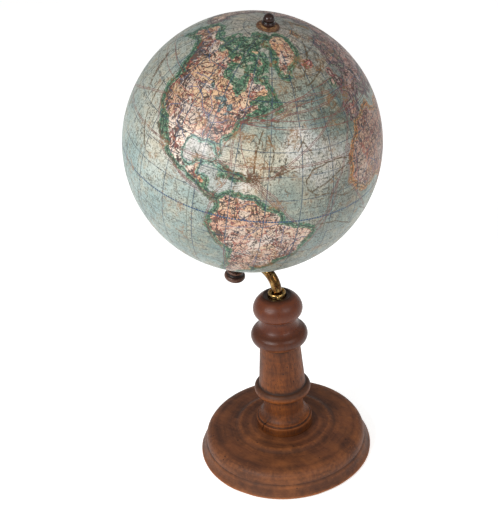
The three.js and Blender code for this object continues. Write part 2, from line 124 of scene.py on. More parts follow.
# The map: each place is "latitude,longitude". An outline of COASTS may take several lines of text, and in the
# other lists each line of text is one outline or one line on the map.
COASTS = {
    "north_america": """71.3,-156.5 70.2,-145 69,-136 69.5,-128 69.8,-122 68,-114 68,-108 67.8,-98
        68.5,-94 72,-94 69.5,-90 67,-86 69.5,-84 68,-81.5 66.3,-84 64,-88 62,-93 59,-94.5 57,-92 55,-83
        53,-82 51.3,-80 52.5,-78.8 55,-77 58,-78 62.3,-77.5 62.4,-73 61,-70 58.8,-68.5 60.3,-64.7 57,-61.5
        54.5,-57.5 52,-55.7 50.2,-60 50.2,-66 48.5,-69.5 49.2,-66 48.7,-64.3 46.2,-64.5 45.8,-61.5
        47,-60.5 44.5,-63.5 43.5,-65.6 45.2,-66 44.5,-67.5 43.2,-70.6 41.8,-70 41.2,-72.5 40.6,-74
        38.9,-75 36.9,-76 35.2,-75.5 33.8,-78 32,-81 30.3,-81.4 28.5,-80.6 26.5,-80 25.2,-80.5 26,-81.8
        28,-82.8 29.9,-84 29.7,-85.3 30.4,-88 29.2,-89.3 29.5,-92 29.7,-94.5 28,-97 26,-97.2 22.5,-97.8
        19.3,-96.2 18.4,-94.3 18.6,-92 20,-90.5 21.3,-89.5 21.5,-87 20,-87.5 18.3,-87.9 15.9,-88.5
        15.9,-85.5 15,-83.3 12.5,-83.5 11,-83.7 9.3,-82 9,-80.8 9.5,-79.6 8.8,-77.4 7.5,-78 8.9,-79.5
        7.4,-80.3 8.2,-82.8 9.8,-84.8 10.8,-85.8 12.8,-87.6 13.3,-89.8 14.2,-92.2 16.1,-94.8 15.8,-96.7
        17,-100 18.3,-103.5 19.9,-105.5 21.5,-105.3 24,-107.5 26.5,-109.3 28,-111 31.2,-113.2 31.7,-114.7
        30,-114.5 27.5,-112.5 24.5,-110.5 23,-109.5 24.5,-112 27,-114.5 28,-114.2 30.5,-116 32.5,-117.2
        34.2,-119.2 34.6,-120.6 37.8,-122.5 40.4,-124.4 43,-124.4 46.3,-124 48.3,-124.7 48.8,-122.7
        51,-127.5 54,-130.5 56.5,-132.5 58.5,-136.7 60,-141 60.7,-146 59.3,-151.5 61,-151 58.8,-154
        56.5,-158.5 55,-162.5 57,-158.5 58.6,-157.5 58.7,-162 60.5,-165.3 63,-164.5 64.5,-161.2 64.7,-166
        65.6,-168 66.5,-162.5 68.3,-166.5 70.3,-161.5""",
    "south_america": """8.8,-77.4 11,-75 11.3,-74.2 12.3,-71.7 11,-71.5 11.5,-69.8 10.6,-67 10.7,-62.5
        8.5,-60.5 6.8,-58 6,-55 5.5,-52.8 4,-51.2 1.8,-50 0,-50 -1,-48 -1,-46 -2.5,-44.2 -2.8,-41
        -3.8,-38.5 -5.1,-35.6 -7.2,-34.8 -9.7,-35.8 -13,-38.5 -16,-39 -19.5,-39.7 -22,-41 -23,-42.5
        -23.5,-45 -25.5,-48.3 -28.5,-48.7 -32,-52 -34.3,-53.5 -34.9,-56.2 -34,-58.4 -36.3,-56.8
        -38.2,-57.8 -39,-62 -41,-62.8 -41,-65 -42.7,-64.2 -45,-65.7 -47.3,-65.8 -50.2,-69 -52.4,-68.5
        -54.8,-65.3 -55.5,-68.5 -53.8,-72 -51,-74.5 -48,-75 -45,-74 -41.8,-73.8 -39.5,-73.3 -37,-73.3
        -33,-71.7 -29,-71.4 -23.5,-70.5 -18.4,-70.3 -16.5,-73 -14,-76.2 -10,-78 -6.2,-80.9 -4.5,-81.2
        -3,-80 -2.2,-80.8 0,-80 1.5,-78.9 4,-77.3 7.5,-78""",
    "greenland": """60,-44 61,-48.5 64,-52 67,-54 69.3,-51 71,-55 74,-57 76,-62 76,-68 78,-72 80.3,-66
        82,-58 83.5,-35 82,-22 80,-17 77,-19 74,-20 71,-22.5 70,-26 68.5,-27 66,-35 64.5,-40 62,-42""",
    "baffin": """73.5,-86 73.6,-80 71.5,-72 69,-67.5 66.7,-61.5 64.5,-65.5 63,-64.8 62,-66 63,-71.5
        64.5,-77.5 65.2,-73.5 67,-72.5 68.5,-75 69.8,-78 70,-84 71.5,-89""",
    "victoria": "73,-106 71.5,-118.5 70.6,-112 69.5,-117 68.6,-113 69,-104 70,-101 71.8,-104",
    "banks": "74.2,-123 73,-117 71.3,-122 72,-125.5",
    "ellesmere": "83,-72 82.3,-62 79,-75 77.5,-78 76.5,-80 76.3,-88 78,-88 80.2,-86 81.8,-90",
    "heiberg": "81.3,-94 80,-87 78.2,-88 79,-94",
    "devon": "76,-91 75.8,-81 74.6,-80 74.7,-92",
    "somerset": "74,-95 74,-90.5 72.2,-93.5 72.5,-96",
    "prince": "74,-97.5 73,-96.8 71.5,-99 73,-102",
    "melville": "76.3,-108 75.8,-105.5 75,-106 74.7,-113 76,-117",
    "bathurst": "76.5,-98 75,-97.5 75.2,-102.5 76.3,-103",
    "southampton": "66,-85.5 64,-80.5 63.3,-84 64,-87",
    "newfoundland": "51.5,-55.5 49.5,-54 47.5,-52.8 46.8,-54 47.5,-56 47.7,-59.2 49.5,-58",
    "vancouver": "50.8,-128 49.3,-124.3 48.4,-123.4 49.5,-126.8",
    "cuba": "22,-84.7 23.1,-82 22.5,-79 21,-75.7 20.2,-74.2 19.9,-77.5 20.7,-78 21.7,-82",
    "hispaniola": "19.8,-73 19.7,-70 18.6,-68.4 17.8,-71.3 18.3,-74.3 18.8,-72.5",
    "jamaica": "18.4,-78.2 18,-76.2 17.8,-77.3",
    "puerto_rico": "18.5,-67.1 18.3,-65.7 18,-66.5",
    "iceland": "66.3,-23 66,-18 66.4,-15.5 65,-13.7 63.5,-18.5 64,-22.5 65,-24",
    "britain": """58.6,-5 58.6,-3.1 57.6,-2 56,-3 54.5,-1 52.9,0.3 52.6,1.7 51.3,1.3 50.7,0 50.5,-3.5
        50.1,-5.6 51.2,-3.3 51.7,-5.2 53.2,-4.5 54.8,-3.4 55,-5 56.5,-6""",
    "ireland": "55.3,-7.3 54.5,-5.6 52.2,-6.4 51.5,-9.7 53.3,-10 54.3,-9.8",
    "eurasia": """71,26 70,31 69.5,33 67.5,41 66.5,33 64.5,35 64,38 65,40 66.5,43.5 67,47 68.5,54 69,60
        68.5,65 71,67 73,70 68,74 71.5,73 72.5,76 71.5,80 73.5,86 76,95 77.7,104 74,111 73,118 73.5,122
        71.5,129 71.5,139 72.5,141 70.9,152 69.7,160 69,170 70,177 69,180 67,188 66,190 64.5,187
        62.5,179.5 60,170 60,164 57.5,163 54,160 51,156.7 55,155.7 58,158 61.5,164 59.5,154 59,143 56,137
        54.5,137 53,141 50,140.5 47,138.5 43,132 41,130 39.5,127.5 37,129.4 35.3,129.2 34.4,126.5
        37.5,126.5 39.5,125 38.8,121.3 41,121.5 39.2,118 37.3,122.5 35,119.3 32,121.8 30,122 27,120.3
        24,118 22.3,114 20.5,110.2 21.6,108.3 19,105.7 16,108.2 12,109.2 10.4,107 8.7,104.8 10.5,104
        13,100.3 9.5,99.2 6.5,101 4,103.4 1.4,104.2 2.8,101.3 6,100.3 8,98.3 12,98.6 16,97.6 16,94.3 20,93
        22.5,91.3 21.7,88 19.7,85.5 16,81.5 13,80.2 10.3,79.8 8.1,77.5 11,75.7 15,73.9 19,72.8 21,72.7
        21,70.3 22.5,69 24.8,67 25.3,62 25.7,57.3 27,56 27.5,52.5 30,49.5 29.5,48 27,49.7 25,51.3 24.2,54
        26.2,56.2 22.5,59.8 20,58 17,55 14.5,49 12.7,44 15,42.8 20,40 25,37 28,34.7 29.8,32.5 31.3,32.3
        31.5,34.4 33.5,35.3 36.5,36 36.3,33 36.8,30.7 37,27.5 39,26.5 40.5,27 41,29 41.3,31.5 42,35 41,38
        41.6,41.5 44.5,37.8 47,39 46,36 45,36.5 44.5,34 45.5,33 46.5,31 45,29.7 43,28 41.2,29 40.8,26.5
        40.7,23 38,24 36.6,23 38.5,21 41,19.5 42.5,18.3 45.2,13.8 45.4,12.3 43.6,13.6 41.9,16 40,18.4
        40.4,17 38,16 40,15.6 41.2,13 43.5,10.3 44.3,8.7 43.2,6 43.3,3.5 41.3,2.1 39.5,-0.3 37.6,-0.9
        36.7,-2.5 36.1,-5.4 37,-8.9 38.7,-9.4 43.2,-9.2 43.5,-3 43.4,-1.6 46,-1.2 47.5,-2.5 48.4,-4.6
        48.7,-2 49.7,-1.5 49.7,0.2 51,1.8 52,4 53.4,6.5 53.7,8.5 55.5,8.2 57.1,8.7 57.6,10.5 54.3,10.8
        54,14 54.6,18.6 55.3,21 57.5,22 57.1,24 59.2,23.5 59.6,28 60.3,28.5 60,23 62,21.3 65,25.3 65.8,24
        63.5,20 60.6,17.2 59,18 56.2,16 55.4,13 57.5,11.8 59,10.7 58,7.5 59,5.5 61,5 63.5,9 67,14 69.5,18
        71,25.7""",
    "africa": """31.3,32.3 29.8,32.5 27,34 24,35.6 20,37.2 15.5,39.7 12.5,43.2 11,45 11.8,51.2 8,49.8
        4,47.7 0,42.8 -4,39.6 -7,39.4 -11,40.5 -15,40.7 -18,37 -20,34.8 -24,35.4 -26,32.8 -29,32 -33,28
        -34,25 -34.8,20 -34,18.4 -31,18 -28.5,16.4 -23,14.4 -17,11.8 -13,13 -9,13.2 -5,12 -1,9 1,9.5 4.4,9
        4.4,6.5 6.3,4 6,1.2 4.8,-2 5.2,-4 4.4,-7.6 7.5,-12.5 9.5,-13.5 12,-16.8 14.7,-17.5 18,-16 21,-17
        24,-15.8 27.7,-13 30,-9.6 33.6,-7.6 35.8,-5.9 35.2,-2.5 36.8,3 37.2,9.8 35,10.5 33.5,10.8 32.8,13
        31.5,15.7 30.3,19 32.5,20 32.8,22.5 31.5,25.5 31,29 31.5,31""",
    "madagascar": "-12,49.3 -16,50.2 -20,48.8 -25,47 -25.3,44.2 -22,43.4 -16,44.5",
    "sri_lanka": "9.7,80 7.5,81.8 6,80.6 8,79.8",
    "sumatra": "5.6,95.3 3,99 0,103.7 -3,106 -5.8,105.7 -4,102.2 0,98.8",
    "java": "-6.2,106 -6.5,110.5 -7.2,112.8 -8.3,114.4 -8,110 -7,106.5",
    "borneo": "7,117 5,119 1,118.8 -1,117.5 -4,116 -3,111.7 0,109.1 2,109.7 3,113",
    "sulawesi": "1.5,125 0.5,120.2 -3,119 -5.5,119.6 -3.5,121 -4.5,122.5 -1,123.3 0.4,121",
    "new_guinea": """-0.5,132.5 -2.7,140.8 -5,145.5 -7,147.3 -10.5,150.5 -9.5,147 -8,143.5 -8.3,138 -5,138
        -4,133.5""",
    "luzon": "18.5,120.8 18.3,122.3 14,124 13.5,120.8 16,119.9",
    "mindanao": "9.5,125.5 7,126.5 6,125 7.5,122.2",
    "honshu": """41.3,141 38,141.5 35.7,140.8 34.7,138 33.6,135.8 34,131 35.5,133 36,136 37.5,137
        38.5,139.5""",
    "hokkaido": "45.4,141.8 43.3,145.5 42,143.2 41.6,140.3 43.3,140.5",
    "kyushu": "33.9,131 31.3,131.2 31.3,130.3 33,129.7",
    "sakhalin": "54.3,142.7 49,144.5 46,143.4 46.5,142 52,141.7",
    "taiwan": "25.2,121.5 22,120.8 23.5,120.1",
    "australia": """-10.8,142.5 -14.5,143.7 -19,146.5 -21.5,149.3 -25,153 -28.5,153.6 -33,151.8 -37.5,150
        -39,146.4 -38,144.5 -38.5,141 -35.6,138.3 -35,136 -33,137.8 -34.9,135.5 -32,133.5 -31.6,129
        -33.9,124 -34,120 -35,117.8 -34.3,115.1 -32,115.7 -26.5,113.5 -22,113.8 -20.7,116.8 -18,122.2
        -14.3,127 -14.8,129.5 -12.2,131 -12,136.5 -15,136 -17.5,140 -14,141.6""",
    "tasmania": "-40.8,144.7 -40.9,148.3 -43.5,146.8 -42.5,145.3",
    "new_zealand_north": "-34.5,172.8 -37.7,178.4 -41.5,175.3 -39.3,173.8 -37,174.7",
    "new_zealand_south": "-40.7,172.8 -41.8,174.2 -46.2,169.5 -46.5,167 -44,168.5",
    "svalbard": "80,12 80.2,25 77,18 76.6,16.5",
    "novaya_zemlya": "76.8,68 75,58 71,51.5 71,55.5 73.5,57 76,65",
    "graham_land": "-63.5,-57 -66,-61 -70,-62 -74,-63 -76,-70 -73,-74 -70,-68 -66.5,-66 -64,-60",
    "victoria_land": "-71,170 -75,165 -78,164 -79,150 -74,140 -69,140 -67,150 -69.5,160",
}
LAKES = """47,51 45,53 41,53 37,54 37.3,49.5 40.3,50 42.5,47.8 45,47.3
    46.7,-92 48,-89.5 48.7,-87 47.2,-84.7 46.5,-86.5
    46,-85 46.1,-81.5 44.6,-80.2 43.2,-81.8 45.4,-83.8 45.5,-85 43,-86.3 41.8,-87.3 43.5,-87.7 45.7,-86.8
    42,-83.3 42.8,-79 43.4,-76.5
    0.3,32.5 -1,34 -2.5,33 -1.5,31.8
    46.5,60 45,61 44,58.7
    52,104.5 55.5,109.8 53.5,108.5
    53.5,-98 50.5,-96.5 51.5,-99"""
RIVERS = """-0.5,-50.5 -2,-54 -3,-60 -3.3,-65 -4,-70 -4.8,-74
    -3.4,-59 -8,-63.5 -11,-65.5
    -3,-60 -1,-63 1.5,-67
    8.7,-61 8,-65 6,-67.5
    -34,-58.5 -31.5,-60.5 -27.3,-58.5 -22,-53
    -27.3,-58.5 -22,-58 -17,-57.7
    -10.5,-36.5 -9,-40 -13,-43.5 -18,-45
    -1.5,-49 -6,-49 -12,-48.5
    29.2,-89.5 32,-91 36,-89.5 39,-91 43,-91 47,-95
    38.8,-90.3 41,-96 46,-100.5 47.8,-106 46,-111
    37,-89 38.5,-83 40.5,-80
    49,-68 46.8,-71.2 45,-75
    26,-97.2 29.5,-101 31.8,-106.4 37,-106
    32,-114.8 36,-114.5 38,-110
    69,-135 66,-130 61.5,-120 59,-112
    63,-164 64.8,-157 66.5,-145 62,-137
    53,-100 53,-106 52,-114
    46.2,-123.8 46,-119 49,-118
    31.4,31 27,31 22,31.5 18,33 15.6,32.5 9.5,31 3,31.8
    -6,12.5 -4,16 1,18.5 1.5,22 -1,25.5 -7,26.5
    4.8,6 9,6 13,2.5 16.8,-3 12.6,-8
    -18.5,36 -16,33.5 -17,27 -14,23
    45.2,29.5 44,25 45,19.5 48,16.5 48.5,9
    46,48.5 48.5,44.8 53,49 56,48 57.5,37
    31.5,121 30.5,114.3 29.5,106.5 28,100
    38,118.5 35,113 40.5,109 36,104
    22,90 25.5,84 29,78
    24.3,67.8 28.5,70 33,73
    66.5,71 61,69 58,82 53,84
    71,83 66,87 58,92 52,93
    72,127 66,123.5 60,121 56,107
    53,141 48.5,135 50,127.5 53,121
    10,106 15,105.5 20,101 27,99
    -35.4,139 -34,142 -36,147"""

RIDGES = """64,-150 60,-135 54,-124 48,-117 42,-111 36,-107 30,-105 24,-104 19,-99 16,-93 14,-88 10,-84
    49,-121 42,-122 37,-119 33,-116
    46,-70 41,-76 36,-82 33,-86
    10,-72 5,-75 0,-78 -6,-78 -12,-75 -17,-69 -23,-67 -32,-70 -40,-71 -50,-73
    5,-62 3,-55
    -15,-48 -20,-44 -24,-49
    43,-1 42.5,2
    44,7 46.5,9 47,14
    49,20 46,25 43,23 40,21
    60,8 65,14 69,20
    31,-8 34,-1 35.5,6
    43,41 41,48
    51,58 60,59 67,65
    35,73 30,80 28,88 28,96 32,101
    36,78 36,95
    42,75 44,85 50,88 52,98 55,110 58,125 62,140
    12,38 5,37 -3,36 -10,34
    -33,24 -30,29 -25,30
    -18,145 -30,151 -37,147
    37,45 32,50 28,55
    24,6 22,9 21,17
    20,58 16,45 24,39"""
ROUTES_A = """49,-5 43,-10 41,-23 36,-31 29,-43 23,-52 19,-57 18.9,-64
    17.5,-102 12.7,-95 9,-86 6.4,-78
    -5.7,-34.8 2.4,-30 11,-28 16,-24 28,-18 38,-12 48,-6
    40.6,-74 40.6,-68 42,-60 45,-48 46,-36 47,-21 49.5,-7
    37.5,-123 33,-135 24,-153 21,-158 30,175 35,150 35,141
    -34,19 -20,7 0,-9 13,-19 28,-16.5
    -33,-71.8 -20,-72.5 -12,-78 -3,-82 6,-80
    12,45 13,60 16,72
    6,80 8,70 12.5,52
    1,104 10,110 21,114 30,124 34,129"""
ROUTES_B = """40.8,-73 42,-70 45,-60 50,-47 52,-34 51,-13
    17,-62 11.5,-54 4,-49 -1,-44
    25,-82 19,-72 17.4,-67 15,-62 6,-52
    8.5,-79.6 12,-92 18,-106 28,-117 36,-123.5
    9.6,-79.8 14,-76.5 20,-74 32,-75.5
    -35,-55 -23,-41 -9,-33.5 5,-27 15,-25.5
    6,80 -8,95 -25,108 -34,114
    -38,145 -30,160 -18,178 0,195 20,203
    -34,151 -38,165 -36,174
    -12,49 -25,40 -33,29"""
ROUTES_C = """40.5,-73.5 41.3,-66 43,-58 47.5,-47 49,-35 49,-21 50,-9
    18.5,-65 30,-71 40,-73.8
    26,-79.5 31,-79 36,-74.5 40.2,-73
    36,-5.5 36.5,-12 38,-27 39,-50 40,-70
    44,-63 50,-45 54,-28 55.5,-9
    -34,18 -36,40 -38,70 -38,100 -36,116
    13,45 0,56 -20,57
    49,-124 50,-150 46,-180 37,143"""
CURRENTS = """22,-16 24,-22 24,-29 22,-38 18,-41 14,-40 11,-36 10.5,-29 8,-24 7,-19
    21.5,-17 19,-24 15.5,-31 13,-38
    20,-64 30,-64 38,-62
    22,-57 30,-56 36,-59
    28,-50 23,-52 20,-55
    31,-44 34,-42 29,-38
    7,-19 9,-12 5,-6
    14,-118 22,-124 32,-128 40,-130
    47,-152 38,-142 33,-136
    46,-149 41,-143 37,-140
    -12,-12 -5,-24 -4,-33
    -20,8 -12,2 -5,-8
    60,-30 64,-24 70,-8 74,5
    56,-30 60,-12 66,2"""
LONG_STAINS = """46,-151 41,-145 37,-141 34,-138.5
    18.9,-64 26,-64.4 33,-64.5
    18.9,-64 20.5,-70 21,-76
    18.9,-64 19.8,-58 21.5,-52 24,-46"""
# Each six numbers: latitude, longitude, reach in degrees, and the colour of the sea or the land there
SEAS = """42 -148 12 152 156 146   30 -160 14 142 150 140   27 -128 10 172 175 163   18 -114 9 194 192 178
    5 -108 8 176 184 176   0 -122 12 154 174 170   -12 -112 12 150 166 160   -8 -94 8 158 166 156
    -26 -86 12 104 118 108   25 -91 7 224 210 202   15 -75 6 202 194 184   28 -72 6 192 184 164
    40 -62 7 138 146 134   53 -42 7 146 142 122   45 -26 8 98 110 100   30 -41 6 216 208 200
    24 -31 7 180 174 166   22 -56 6 188 182 162   12 -48 7 138 140 126   9 -24 7 122 124 112
    0 -20 8 112 118 108   -10 -26 9 126 132 124   -26 -30 14 124 132 126   78 -150 9 156 148 136
    86 0 8 182 166 154   78 0 9 184 166 152   78 60 12 160 154 144   68 -2 8 156 150 136
    72 -65 6 164 164 148   73 -98 8 190 166 146   59 -85 7 166 160 138   -45 -90 18 160 174 168
    -60 0 22 168 172 160   -35 70 30 160 176 170   10 160 35 166 180 173   -20 -160 30 168 182 176
    45 170 16 166 172 160   -75 90 25 176 172 156   15 65 12 170 180 170   36 18 6 158 160 148
    56 3 4 130 132 126   -20 10 14 158 168 160"""
LANDS = """64 -150 9 192 150 114   57 -122 8 206 160 120   55 -104 9 216 172 130   53 -72 9 224 178 134
    40 -113 8 206 166 136   43 -98 8 214 174 132   37 -84 8 208 166 144   23 -102 7 212 160 138
    14 -86 6 216 160 120   72 -42 9 216 166 122   66 -72 6 190 164 122   5 -70 7 214 160 120
    -3 -60 7 208 170 142   -14 -50 8 204 170 150   -8 -40 6 212 176 152   -11 -75 7 214 158 128
    -36 -66 12 212 166 140   28 0 10 204 162 132   12 -2 9 196 150 128   8 25 14 206 162 138
    -22 24 12 212 170 140   48 6 7 182 146 138   62 14 8 186 146 132   55 38 10 186 150 140
    60 90 18 204 166 154   20 78 10 206 150 140   32 105 12 214 184 138   42 75 12 206 176 140
    25 45 9 214 180 140   0 112 14 206 160 130   -25 134 16 208 166 148   -80 0 40 212 200 178
    65 -18 3 196 120 108   60 150 14 198 166 140"""
# The colour and width of each outline's coast wash. American ones are green, and others not listed are brown.
GREEN = (54, 102, 74), 1.0
BROWN = (150, 108, 66), 0.7
LAKE_BLUE = (110, 134, 140), 0.35
WASHES = {
    "iceland": ((168, 92, 84), 0.7), "britain": ((150, 84, 84), 0.6), "ireland": ((110, 120, 96), 0.6),
    "eurasia": ((122, 94, 98), 1.1), "africa": ((174, 112, 54), 1.0), "australia": ((150, 104, 120), 0.8),
    "new_guinea": ((120, 130, 96), 0.8), "borneo": ((150, 112, 60), 0.8), "madagascar": ((112, 96, 128), 0.8),
    "graham_land": ((140, 150, 140), 0.7), "victoria_land": ((140, 150, 140), 0.7),
}
AMERICAN = """north_america south_america greenland baffin victoria banks ellesmere heiberg devon somerset
    prince melville bathurst southampton newfoundland vancouver cuba hispaniola jamaica puerto_rico""".split()


def paint(red, green, blue):
    """A colour given as it looks on a screen, 0 to 255, as the linear colour that shaders use."""
    return tuple(((c / 255 + 0.055) / 1.055) ** 2.4 for c in (red, green, blue)) + (1.0,)


def places(text):
    return np.array([[float(v) for v in pair.split(",")] for pair in text.split()])


def filled(places_, step, shake=0.0, closed=False):
    """The same line with points no more than step degrees apart, the added ones shaken by a share of it."""
    ends = np.roll(places_, -1, axis=0) if closed else places_[1:]
    out = []
    for a, b in zip(places_, ends):
        wide = (b[1] - a[1]) * math.cos(math.radians((a[0] + b[0]) / 2))
        count = max(1, math.ceil(math.hypot(b[0] - a[0], wide) / step))
        for k in range(count):
            point = a + (b - a) * k / count
            if k:
                point = point + random.uniform(-shake, shake, 2)
            out.append(point)
    if not closed:
        out.append(places_[-1])
    return np.array(out)


def on_sphere(latitude, longitude):
    lat, lon = np.radians(latitude), np.radians(longitude)
    return np.stack([np.cos(lat) * np.cos(lon), np.cos(lat) * np.sin(lon), np.sin(lat)], axis=-1)


def grid(latitudes, longitudes):
    return on_sphere(*np.meshgrid(latitudes, longitudes, indexing="ij"))


class Lines:
    """Line segments on the unit sphere, and distances to them in millimetres of the globe."""

    def __init__(self, lines, closed=False):
        points = [on_sphere(line[:, 0], line[:, 1]) for line in lines]
        self.starts = np.concatenate([p if closed else p[:-1] for p in points])
        self.ends = np.concatenate([np.roll(p, -1, axis=0) if closed else p[1:] for p in points])
        self.owner = np.repeat(np.arange(len(points)), [len(p) if closed else len(p) - 1 for p in points])
        self.middle = (self.starts + self.ends) / 2
        self.half = np.linalg.norm(self.ends - self.starts, axis=1) / 2
        self.side = np.cross(self.starts, self.ends)

    def measure(self, points, reach):
        """The plain and the signed distance of each point, up to reach, and the nearest line's number."""
        rows, columns = points.shape[:2]
        plain = np.full((rows, columns), reach)
        signed = np.full((rows, columns), reach)
        nearest = np.zeros((rows, columns), int)
        for row in range(0, rows, BLOCK_ROWS):
            for column in range(0, columns, GORE_COLUMNS + 1):
                part = (slice(row, row + BLOCK_ROWS), slice(column, column + GORE_COLUMNS + 1))
                block = points[part].reshape(-1, 3)
                middle = block.mean(0)
                spread = np.linalg.norm(block - middle, axis=1).max()
                near = np.linalg.norm(self.middle - middle, axis=1) - self.half < spread + reach / RADIUS
                if not near.any():
                    continue
                start, along = self.starts[near], self.ends[near] - self.starts[near]
                apart = block[:, None] - start
                share = np.clip((apart * along).sum(2) / np.maximum((along**2).sum(1), 1e-12), 0, 1)
                distance = np.linalg.norm(apart - share[..., None] * along, axis=2) * RADIUS
                best = distance.argmin(1)
                distance = np.minimum(distance[np.arange(len(block)), best], reach)
                side = np.sign((block * self.side[near][best]).sum(1))
                shape = plain[part].shape
                plain[part] = distance.reshape(shape)
                signed[part] = (distance * np.where(side == 0, 1, side)).reshape(shape)
                nearest[part] = self.owner[near][best].reshape(shape)
        return plain, signed, nearest


def inside(latitudes, longitudes, outline):
    """Which points of a grid lie in an outline. The grid's longitudes run from -90 to 270."""
    result = np.zeros((len(latitudes), len(longitudes)), bool)
    after = np.roll(outline, -1, axis=0)
    for row, latitude in enumerate(latitudes):
        crossed = (outline[:, 0] > latitude) != (after[:, 0] > latitude)
        if crossed.any():
            a, b = outline[crossed], after[crossed]
            crossings = np.sort(a[:, 1] + (latitude - a[:, 0]) / (b[:, 0] - a[:, 0]) * (b[:, 1] - a[:, 1]))
            for turn in (0, 360):
                result[row] |= np.searchsorted(crossings + turn, longitudes) % 2 == 1
    return result


def degrees_from(place, points):
    return np.degrees(np.arccos(np.clip(points @ on_sphere(*place).T, -1, 1)))


def palette(text, points):
    """Colours blended from the places of a table, each with the reach and colour that it gives."""
    rows = np.array(text.split(), float).reshape(-1, 6)
    share = (degrees_from(rows[:, :2].T, points) / rows[:, 2]) ** 2
    weight = np.exp(-share) + 1e-4 / (1 + share)
    colours = np.array([paint(*row[3:])[:3] for row in rows])
    return (weight @ colours) / weight.sum(-1, keepdims=True)


def drawn(text, *settings, **closing):
    """The lines of a text, with points added between their own as filled() does."""
    return [filled(places(line), *settings, **closing) for line in text.strip().splitlines()]


outlines = {name: filled(places(text), 1.1, 0.22, closed=True) for name, text in COASTS.items()}
lakes = drawn(LAKES, 1.1, 0.15, closed=True)
coast_lines = Lines(list(outlines.values()) + lakes, closed=True)
rays = zip(np.linspace(0, 2 * math.pi, STAR_RAYS + 1)[:-1], random.uniform(1.2, 3.4, STAR_RAYS))
star = [np.array([STAR, (STAR[0] + reach * math.sin(turn), STAR[1] + reach * math.cos(turn))])
        for turn, reach in rays]
layers = {
    "river": Lines(drawn(RIVERS, 1.2, 0.3)), "route_a": Lines(drawn(ROUTES_A, 2)),
    "route_b": Lines(drawn(ROUTES_B, 2)), "route_c": Lines(drawn(ROUTES_C, 2)),
    "current": Lines(drawn(CURRENTS, 2, 0.2)), "stain": Lines(drawn(LONG_STAINS, 2, 0.1) + star),
}
ridges = Lines(drawn(RIDGES, 2))
washes = [WASHES.get(name, GREEN if name in AMERICAN else BROWN) for name in outlines]
washes += [LAKE_BLUE] * len(lakes)
wash_colours = np.array([paint(*colour)[:3] for colour, _ in washes])
wash_widths = np.array([width for _, width in washes])


def map_fields(latitudes, longitudes):
    """What the map shows at each point of a grid of latitudes and longitudes."""
    points = grid(latitudes, longitudes)
    land = np.zeros(points.shape[:2], bool)
    for outline in outlines.values():
        land |= inside(latitudes, longitudes, outline)
    for lake in lakes:
        land &= ~inside(latitudes, longitudes, lake)
    plain, _, owner = coast_lines.measure(points, COAST_REACH)
    from_gulf = degrees_from(GULF, points)
    pale = np.clip((GULF_REACH - from_gulf) / GULF_FADE, 0, 1)
    pale = pale * (degrees_from(WEST_MEXICO, points) > MEXICO_REACH)
    fields = {
        "map": points,
        "coast": np.where(land, plain, -plain),
        "wash": wash_colours[owner] * (1 - pale[..., None]) + pale[..., None] * paint(*GULF_WASH)[:3],
        "wash_width": wash_widths[owner] * (1 - 0.35 * pale),
        "sea": palette(SEAS, points),
        "land": palette(LANDS, points),
        "relief": np.exp(-((ridges.measure(points, RIDGE_REACH)[0] / RIDGE_WIDTH) ** 2)),
    }
    for name, lines in layers.items():
        near, signed, _ = lines.measure(points, LINE_REACH)
        fields[name] = signed
        fields[name + "_near"] = near
    return fields


def mesh_object(name, vertices, faces, place, fields=None):
    """A smooth-shaded mesh object. Fields give a number or three numbers for each vertex."""
    mesh = bpy.data.meshes.new(name)
    mesh.from_pydata([place @ Vector(v) for v in vertices], [], faces)
    for field, values in (fields or {}).items():
        values = np.asarray(values, np.float32)
        kind, part = ("FLOAT_VECTOR", "vector") if values.ndim == 2 else ("FLOAT", "value")
        mesh.attributes.new(field, kind, "POINT").data.foreach_set(part, values.ravel())
    mesh.validate()
    mesh.shade_smooth()
    mesh.set_sharp_from_angle(angle=math.radians(SHARP))
    obj = bpy.data.objects.new(name, mesh)
    bpy.context.scene.collection.objects.link(obj)
    return obj


def fit_out(obj, body, slot, material, *nodes):
    """Puts a piece on its body, in place of its CAD nodes, with its material."""
    obj.data.materials.clear()
    obj.data.materials.append(material)
    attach(obj, body)
    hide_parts(*nodes)


def arc(r, z, radius_r, radius_z, start, end, steps):
    """Points of a round stretch of an outline, from one angle to another, in degrees from +radius."""
    angles = np.radians(np.linspace(start, end, steps + 1))
    return [(r + radius_r * math.cos(a), z + radius_z * math.sin(a)) for a in angles]


def tube(bore, radius, low, high):
    """The outline of a plain tube, or of a disc where the bore is 0."""
    return [(bore, low), (radius, low), (radius, high), (bore, high)]


def eased(outline, reach):
    """The outline with its corners rounded off, and its long straight runs divided."""
    points = [np.array(p, float) for p in outline]
    closed = outline[0][0] > 0
    count = len(points)
    out = []
    for i, here in enumerate(points):
        if not closed and i in (0, count - 1):
            out.append(here)
            continue
        before, after = points[i - 1], points[(i + 1) % count]
        back, on = before - here, after - here
        long_back, long_on = np.linalg.norm(back), np.linalg.norm(on)
        bend = math.degrees(math.acos(np.clip(-(back @ on) / (long_back * long_on), -1, 1)))
        if bend < SOFT_BEND:
            out.append(here)
            continue
        a = here + back / long_back * min(reach, 0.4 * long_back)
        b = here + on / long_on * min(reach, 0.4 * long_on)
        out += [(1 - t) ** 2 * a + 2 * t * (1 - t) * here + t * t * b for t in (0, 0.33, 0.67, 1)]
    divided = []
    pairs = zip(out, out[1:] + out[:1]) if closed else zip(out, out[1:])
    for a, b in pairs:
        parts = max(1, math.ceil(np.linalg.norm(b - a) / LONGEST_RUN))
        divided += [a + (b - a) * k / parts for k in range(parts)]
    if not closed:
        divided.append(out[-1])
    return np.array(divided)


